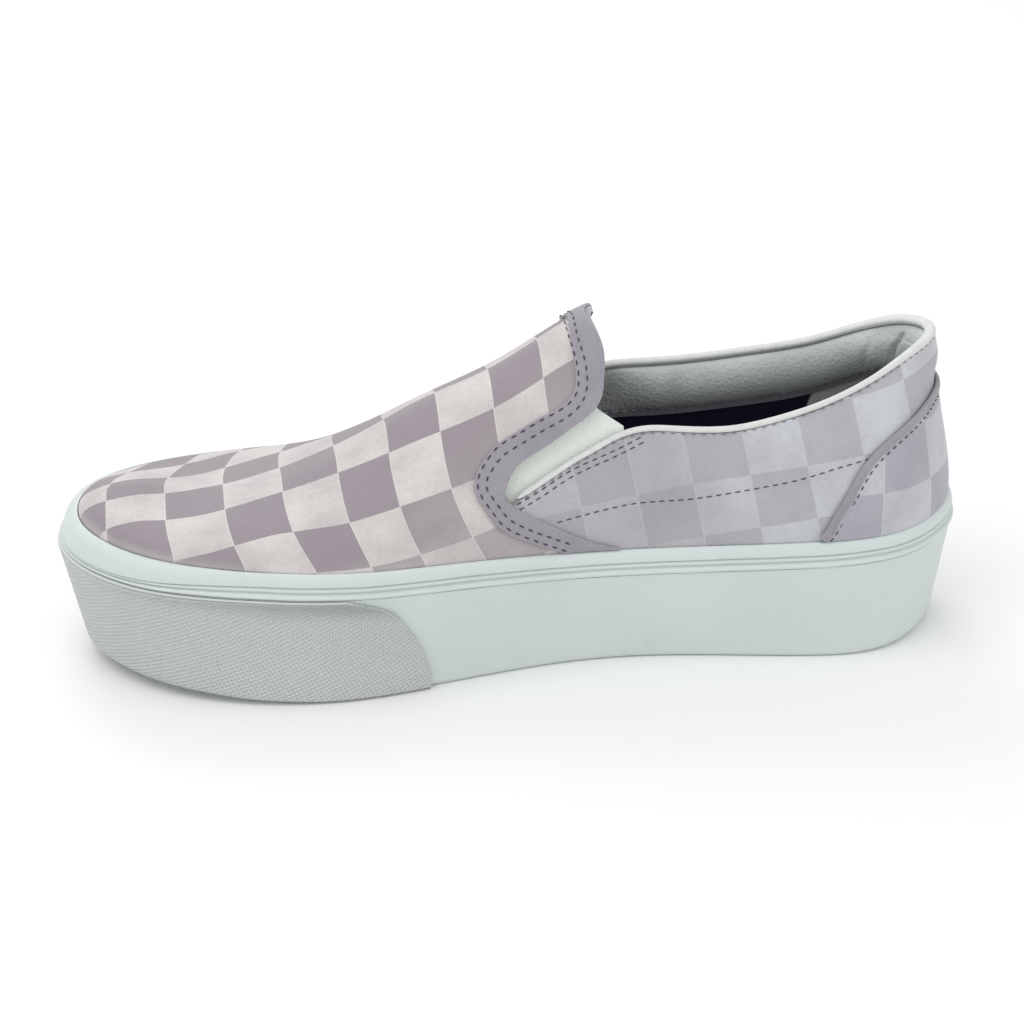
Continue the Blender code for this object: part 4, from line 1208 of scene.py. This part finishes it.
# The lining tape: a strip of grey webbing sewn over the padding's lower edge, where padding
# and lining meet. It runs round the inside of the collar at one distance below its edge.
TAPE_TOP = 0.0170           # from the collar's edge to the tape's upper edge
TAPE_WIDTH = 0.0032
TAPE_THICKNESS = 0.0007
tape_drops = np.linspace(TAPE_TOP, TAPE_TOP + TAPE_WIDTH, 6)
tape_climbs = np.array([collar_climb(pad_side, pad_angle, drop) for drop in tape_drops])
tape_sides = np.broadcast_to(pad_side, tape_climbs.shape)
tape_angles = np.broadcast_to(pad_angle, tape_climbs.shape)
tape_grid = (tape_sides, tape_angles, tape_climbs)
lining_tape = thin_piece(
    "lining_tape", on_last(*tape_grid, -WALL - 0.0001), on_last(*tape_grid, -WALL - 0.0001 - TAPE_THICKNESS))
webbing = plain_cloth_finish("webbing", (0.23, 0.215, 0.255), (0.16, 0.15, 0.185))
lining_tape.data.materials.append(webbing.material)
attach(lining_tape, "root")

# The heel counter: a stiff panel of checked cloth round the heel, and in front of it the
# piping, a strip folded over a cord and caught in the seam.
COUNTER_THICKNESS = 0.0008
PIPING_THICKNESS = 0.0016
PIPING_WIDTH = 0.0026
PIPING_START = HEEL_X + 0.0055      # it runs from here at the back of the heel
PIPING_FOOT = 0.0402                # down to this height, inside the foxing
PIPING_POINTS = 300
BEHIND_HEEL = -0.06         # station past the back of the heel, for the pattern block
HEEL_COLUMN = 0.006         # where a column line and a row line of its squares lie
HEEL_ROW = 0.0545
HEEL_AXIS = -0.100          # x of the middle of the heel's curve, and its radius
HEEL_RADIUS = 0.030
# Front seam of the heel counter: station, rise
COUNTER = [
    (-0.0400, 0.566), (0.0100, 0.565), (0.0300, 0.560), (0.0430, 0.549), (0.0613, 0.527),
    (0.0873, 0.490), (0.1114, 0.435), (0.1283, 0.372), (0.1389, 0.305), (0.1494, 0.218),
    (0.1596, 0.140), (0.1697, 0.058), (0.1800, 0.006),
]


def heel_patch(name, station, outside, inside, columns=160):
    """Closed sheet round the heel, up to a station on both sides."""
    end = float(angle_of(station))
    spread = np.linspace(end, -end, columns)
    side = np.broadcast_to(np.where(spread >= 0, 1, -1), (PATCH_ROWS, columns))
    angle = np.broadcast_to(np.abs(spread), (PATCH_ROWS, columns))
    climb = np.repeat(np.linspace(0, 0.95, PATCH_ROWS)[:, None], columns, axis=1)
    grid = (side, angle, climb)
    return thin_piece(name, on_last(*grid, outside), on_last(*grid, inside))


def shifted_line(line, shift):
    """Side view line (x, z) moved back and down across itself."""
    along = np.gradient(line, axis=0)
    along /= np.linalg.norm(along, axis=1, keepdims=True)
    return line + np.stack([along[:, 1], -along[:, 0]], -1) * shift


counter_smooth = smooth_line([pattern(*row) for row in COUNTER], 160)
counter_edge = shifted_line(counter_smooth, PIPING_WIDTH * 0.6)
edge_station, edge_rise = pattern_place(*counter_edge.T)
edge_rows = triple(zip(edge_station, np.maximum(edge_rise, PATTERN_FLOOR)))
edge_rows.append((BEHIND_HEEL, PATTERN_FLOOR, PATTERN_FLOOR))
counter = heel_patch("heel_counter_panel", 0.24, CLEARANCE + COUNTER_THICKNESS, CLEARANCE)
apply_cut(counter, pattern_block("counter_block", edge_rows), "INTERSECT")
places = corners_of(counter)
round_heel = np.arctan2(places[:, 1], HEEL_AXIS - places[:, 0]) * HEEL_RADIUS
column = (np.abs(round_heel) - HEEL_COLUMN) / CHECK + 4
chart = np.stack([column, (places[:, 2] - HEEL_ROW) / CHECK], -1)
set_map(counter, "chart", chart)
sheen_contrast_map(counter)
# Painted sheen: the heel's cloth is the vamp's too, painted with other colours and less contrast for how the
# light falls on it.
heel_cloth = checked_cloth("heel_cloth", (0.53, 0.54, 0.58), (0.32, 0.305, 0.355))
finished(counter, heel_cloth, "heel_counter")

field_angle, field_climb = np.meshgrid(
    np.linspace(0, 1, 400), np.linspace(0, 1, 240), indexing="ij")


def side_view_place(side, x, z):
    """Angle and climb of the point of one side of the last that is seen at (x, z)."""
    field = last_point(side, field_angle, field_climb)
    angle, climb = np.zeros(len(x)), np.zeros(len(x))
    for k in range(len(x)):
        away = (field[..., 0] - x[k]) ** 2 + (field[..., 2] - z[k]) ** 2
        best = np.unravel_index(int(np.argmin(away)), away.shape)
        angle[k], climb[k] = field_angle[best], field_climb[best]
    step = 1e-4
    for _ in range(6):
        here = last_point(side, angle, climb)
        by_angle = (last_point(side, angle + step, climb) - here) / step
        by_climb = (last_point(side, angle, climb + step) - here) / step
        miss_x, miss_z = x - here[:, 0], z - here[:, 2]
        scale = by_angle[:, 0] * by_climb[:, 2] - by_angle[:, 2] * by_climb[:, 0]
        scale = np.where(np.abs(scale) < 1e-6, 1e-6, scale)
        turn = (miss_x * by_climb[:, 2] - miss_z * by_climb[:, 0]) / scale
        lift = (by_angle[:, 0] * miss_z - by_angle[:, 2] * miss_x) / scale
        angle = np.clip(angle + np.clip(turn, -0.005, 0.005), 0, 1 - step)
        climb = np.clip(climb + np.clip(lift, -0.01, 0.01), 0, 1 - step)
    return angle, climb


def line_on_last(side, line, offset):
    """Points and outward normals of a side view line on one side of the last."""
    angle, climb = side_view_place(side, line[:, 0], line[:, 1])
    normal = last_normal(side, angle, climb)
    place = last_point(side, angle, climb)
    return place + normal * (offset + dress(place))[:, None], normal


piping_line = shifted_line(counter_smooth, PIPING_WIDTH / 2)
piping_line = piping_line[(piping_line[:, 0] > PIPING_START) & (piping_line[:, 1] > PIPING_FOOT)]
inner_run, inner_out = line_on_last(1, piping_line, CLEARANCE + PIPING_THICKNESS * 0.42)
outer_run, outer_out = line_on_last(-1, piping_line, CLEARANCE + PIPING_THICKNESS * 0.42)
path = np.concatenate([inner_run[::-1], outer_run])
outs = np.concatenate([inner_out[::-1], outer_out])
length = run_length(path)
spots = np.linspace(0, length[-1], PIPING_POINTS)
rough_path = np.stack([np.interp(spots[::6], length, column) for column in path.T], -1)
path = smooth_line(rough_path, PIPING_POINTS)
outs = np.stack([np.interp(spots, length, column) for column in outs.T], -1)
outs /= np.linalg.norm(outs, axis=1, keepdims=True)
piping_section = oval(PIPING_WIDTH / 2, PIPING_THICKNESS / 2, 14, 2.3)
piping = sweep("heel_piping", path, across_of(path, outs), outs, piping_section, 1.0)
finished(piping, plain_cloth, "counter_piping")

# The stitches: polyester thread sewn through cloth, band and quarters. Each stitch is a short
# sunk stroke of thread along its seam.
THREAD = (0.035, 0.024, 0.048)
STITCH = 0.0018
STITCH_PITCH = 0.0031
THREAD_WIDTH = 0.00048
THREAD_LIFT = 0.0002


def stitch_tree():
    """Geometry nodes: strokes of thread set along a line and tilted with it."""
    tree = bpy.data.node_groups.new("stitches", "GeometryNodeTree")
    face = tree.interface
    face.new_socket("Geometry", in_out="INPUT", socket_type="NodeSocketGeometry")
    for name in ("Pitch", "Stitch", "Width"):
        face.new_socket(name, in_out="INPUT", socket_type="NodeSocketFloat")
    face.new_socket("Thread", in_out="INPUT", socket_type="NodeSocketMaterial")
    face.new_socket("Geometry", in_out="OUTPUT", socket_type="NodeSocketGeometry")

    def node(kind, settings=None, **links):
        made = tree.nodes.new(kind)
        for key, value in (settings or {}).items():
            setattr(made, key, value)
        for key, value in links.items():
            socket = made.inputs[key.replace("_", " ")]
            if isinstance(value, bpy.types.NodeSocket):
                tree.links.new(value, socket)
            else:
                socket.default_value = value
        return made

    given = tree.nodes.new("NodeGroupInput").outputs
    curve = node("GeometryNodeMeshToCurve", None, Mesh=given["Geometry"])
    line = node("GeometryNodeResampleCurve", {"mode": "LENGTH"},
                Curve=curve.outputs[0], Length=given["Pitch"])
    stroke = node("GeometryNodeMeshIcoSphere", None, Radius=0.5, Subdivisions=2)
    tangent = node("GeometryNodeInputTangent")
    turn = node("FunctionNodeAlignRotationToVector", {"axis": "X"}, Vector=tangent.outputs[0])
    vector = {"data_type": "FLOAT_VECTOR"}
    normal = node("GeometryNodeInputNamedAttribute", vector, Name="outward")
    upright = node("FunctionNodeAlignRotationToVector", {"axis": "Z", "pivot_axis": "X"},
                   Rotation=turn.outputs[0], Vector=normal.outputs[0])
    size = node("ShaderNodeCombineXYZ", None, X=given["Stitch"], Y=given["Width"], Z=given["Width"])
    placed = node("GeometryNodeInstanceOnPoints", None, Points=line.outputs[0],
                  Instance=stroke.outputs[0], Rotation=upright.outputs[0], Scale=size.outputs[0])
    real = node("GeometryNodeRealizeInstances", None, Geometry=placed.outputs[0])
    smooth = node("GeometryNodeSetShadeSmooth", None, Geometry=real.outputs[0])
    coloured = node("GeometryNodeSetMaterial", None,
                    Geometry=smooth.outputs[0], Material=given["Thread"])
    out = tree.nodes.new("NodeGroupOutput")
    tree.links.new(coloured.outputs[0], out.inputs[0])
    return tree


stitches = stitch_tree()


def sew(name, lines, material, pitch, stitch, width):
    """Stitches along lines of (points, outward normals)."""
    points, edges, outs = [], [], []
    for line, normals in lines:
        start = len(points)
        points += list(line + CENTRE)
        outs += list(normals)
        edges += [(start + k, start + k + 1) for k in range(len(line) - 1)]
    mesh = bpy.data.meshes.new(name)
    mesh.from_pydata([tuple(p) for p in points], edges, [])
    attribute = mesh.attributes.new("outward", "FLOAT_VECTOR", "POINT")
    attribute.data.foreach_set("vector", np.array(outs, np.float32).ravel())
    piece = placed(name, mesh)
    modifier = piece.modifiers.new("stitches", "NODES")
    modifier.node_group = stitches
    names = {item.name: item.identifier for item in stitches.interface.items_tree
             if item.item_type == "SOCKET" and item.in_out == "INPUT"}
    for key, value in (("Pitch", pitch), ("Stitch", stitch), ("Width", width), ("Thread", material)):
        modifier[names[key]] = value
    apply_modifiers(piece)
    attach(piece, "root")


thread = Finish("thread", roughness=0.6, base_color=(*THREAD, 1))

BAND_ROWS = (0.0010, 0.0034)    # the two rows, from the band's seam edge
BAND_TURN_UP = 0.085        # height above which a row is followed over the ridge
BAND_FOOT = 0.0391          # height where the rows run into the foxing


def over_the_tab(side, line, offset, count=50):
    """Points and normals of the top of a side view line, followed up to the ridge."""
    top = line[line[:, 1] >= BAND_TURN_UP - 0.002]
    top = top[np.argsort(top[:, 1])]
    start_x = np.interp([BAND_TURN_UP], top[:, 1], top[:, 0])
    angle, climb = side_view_place(side, start_x, np.array([BAND_TURN_UP]))
    climb = np.linspace(0.97, climb[0], count)
    angle = np.full(count, angle[0])
    step = 1e-3
    for _ in range(20):
        place = last_point(side, angle, climb)
        slope = (last_point(side, angle + step, climb)[:, 0] - place[:, 0]) / step
        angle = angle + (np.interp(place[:, 2], top[:, 1], top[:, 0]) - place[:, 0]) / slope
    normal = last_normal(side, angle, climb)
    return last_point(side, angle, climb) + normal * offset, normal


throat_rows = []
seam_line = np.array([pattern(*row) for row in seam_edge])
band_lift = CLEARANCE + BAND_THICKNESS + THREAD_WIDTH * 0.15
for side in (1, -1):
    for gap in BAND_ROWS:
        row = shifted_line(seam_line, gap)
        row = row[row[:, 1] > BAND_FOOT]
        low_place, low_out = line_on_last(side, row[row[:, 1] < BAND_TURN_UP], band_lift)
        top_place, top_out = over_the_tab(side, row, band_lift)
        place, out = np.concatenate([top_place, low_place]), np.concatenate([top_out, low_out])
        throat_rows.append((place, out))
sew("throat_stitches", throat_rows, thread.material, STITCH_PITCH, STITCH, THREAD_WIDTH)

# Rows of stitches of the quarters in side view (x, z) in millimetres, in the heel's frame
LONG_ROW = [
    (-10.4, 48.5), (-22.5, 50.8), (-34.5, 52.6), (-46.5, 53.1), (-58.3, 54.6), (-70.0, 56.9),
    (-81.7, 59.5), (-93.4, 63.1), (-101.8, 65.2),
]
REINFORCING_ROW = [
    (1.1, 53.6), (-5.9, 57.1), (-13.5, 61.5), (-22.5, 65.3), (-31.5, 69.1), (-34.7, 70.7),
]
ROWS_APART = 0.0017
long_row = smooth_line(np.array(LONG_ROW) / 1000, 120)
low_row = smooth_line(np.array(REINFORCING_ROW) / 1000, 80)
quarter_rows = []
for side in (1, -1):
    for row in (long_row, low_row, shifted_line(low_row, ROWS_APART)):
        quarter_rows.append(line_on_last(side, row, THREAD_WIDTH * 0.1))
sew("quarter_stitches", quarter_rows, thread.material, 0.0028, 0.0019, 0.00038)


def collar_row(sides, at, drop, out):
    """Points and normals of a row that runs along the collar at a drop below its edge."""
    climb = collar_climb(sides, at, drop)
    normal = last_normal(sides, at, climb)
    return last_point(sides, at, climb) + normal * out, normal


def thread_finish(name, colour):
    finish = Finish(name, roughness=0.6)
    strands = finish.noise(2500.0, 2.0)
    finish.colour(finish.mix(strands, colour, tuple(c * 1.5 for c in colour)))
    finish.normal(finish.bump(strands, 0.0001, 0.6))
    return finish


grey_thread = thread_finish("grey_thread", (0.15, 0.14, 0.16))
pale_thread = thread_finish("pale_thread", (0.40, 0.41, 0.39))
edge_row = collar_row(binding_side, binding_angle, BINDING_HEIGHT * 1.3, THREAD_LIFT)
sew("binding_stitches", [edge_row], grey_thread.material, 0.0030, 0.0014, 0.00030)
seam_row = collar_row(
    pad_side, pad_angle, TAPE_TOP + 0.0009, -WALL - TAPE_THICKNESS - 2 * THREAD_LIFT)
sew("lining_stitches", [seam_row], pale_thread.material, 0.0030, 0.0020, 0.0004)

piping_rows = []
for side in (1, -1):
    row = shifted_line(counter_smooth, PIPING_WIDTH + 0.0007)
    row = row[(row[:, 0] > PIPING_START + 0.0020) & (row[:, 1] > PIPING_FOOT)]
    piping_rows.append(line_on_last(side, row, CLEARANCE + COUNTER_THICKNESS + THREAD_WIDTH * 0.4))
sew("piping_stitches", piping_rows, thread.material, 0.0026, 0.0016, 0.00034)

# The floor, the lights and the camera: a plain pale sheet under soft studio light, seen from
# the photograph's angle.
FLOOR_SIZE = 6.0
VIEW_TURN = 7.594           # degrees round from straight on the inner side, towards the toe
VIEW_RISE = 25.251
VIEW_ROLL = 0.742
VIEW_DISTANCE = 0.850
VIEW_TARGET = (0.0, 0.0, 0.040)
LENS = 97.74
MIDDLE_PIXEL = (511.43, 505.05)
FRAME_PIXELS = 1024

floor_mesh = bpy.data.meshes.new("floor")
half = FLOOR_SIZE / 2
corners = [(-half, -half, 0), (half, -half, 0), (half, half, 0), (-half, half, 0)]
floor_mesh.from_pydata(corners, [], [(0, 1, 2, 3)])
floor = placed("floor", floor_mesh)
floor_paint = Finish("floor_paint", base_color=(0.90, 0.90, 0.90), roughness=0.85)
floor.data.materials.append(floor_paint.material)

world = bpy.data.worlds.new("studio")
world.use_nodes = True
background = world.node_tree.nodes["Background"]
background.inputs[0].default_value = (1.0, 1.0, 1.0, 1)
background.inputs[1].default_value = 0.80
bpy.context.scene.world = world


def soft_box(name, place, target, size, power):
    """Square studio light aimed at a point."""
    light = bpy.data.lights.new(name, "AREA")
    light.shape = "SQUARE"
    light.size = size
    light.energy = power
    back = np.array(place, float) - np.array(target, float)
    back /= np.linalg.norm(back)
    right = np.cross((0, 0, 1), back)
    right /= np.linalg.norm(right)
    up = np.cross(back, right)
    columns = np.stack([right, up, back, place], -1)
    placed(name, light).matrix_world = Matrix(columns.tolist() + [[0, 0, 0, 1]])


soft_box("key_light", (0.5, 0.3, 1.1), (0.02, 0.0, 0.04), 0.9, 4.5)
soft_box("side_light", (-0.8, 0.9, 0.6), (0.0, 0.0, 0.04), 1.0, 2.0)
soft_box("back_light", (0.2, -1.0, 0.9), (0.0, 0.0, 0.05), 0.8, 4.0)

turn, rise, roll = math.radians(VIEW_TURN), math.radians(VIEW_RISE), math.radians(VIEW_ROLL)
towards = np.array((math.sin(turn) * math.cos(rise), math.cos(turn) * math.cos(rise), math.sin(rise)))
eye = np.array(VIEW_TARGET) + towards * VIEW_DISTANCE + CENTRE
level = np.cross(-towards, (0, 0, 1))
level /= np.linalg.norm(level)
upward = np.cross(level, -towards)
right = level * math.cos(roll) + upward * math.sin(roll)
up = upward * math.cos(roll) - level * math.sin(roll)
camera_data = bpy.data.cameras.new("photo_camera")
camera_data.sensor_width = 36
camera_data.lens = LENS
camera_data.clip_start = 0.01
camera_data.shift_x = -(MIDDLE_PIXEL[0] - FRAME_PIXELS / 2) / FRAME_PIXELS
camera_data.shift_y = (MIDDLE_PIXEL[1] - FRAME_PIXELS / 2) / FRAME_PIXELS
camera = placed("photo_camera", camera_data)
camera.matrix_world = Matrix(np.stack([right, up, towards, eye], -1).tolist() + [[0, 0, 0, 1]])
bpy.context.scene.camera = camera
bpy.context.scene.view_settings.view_transform = "Standard"
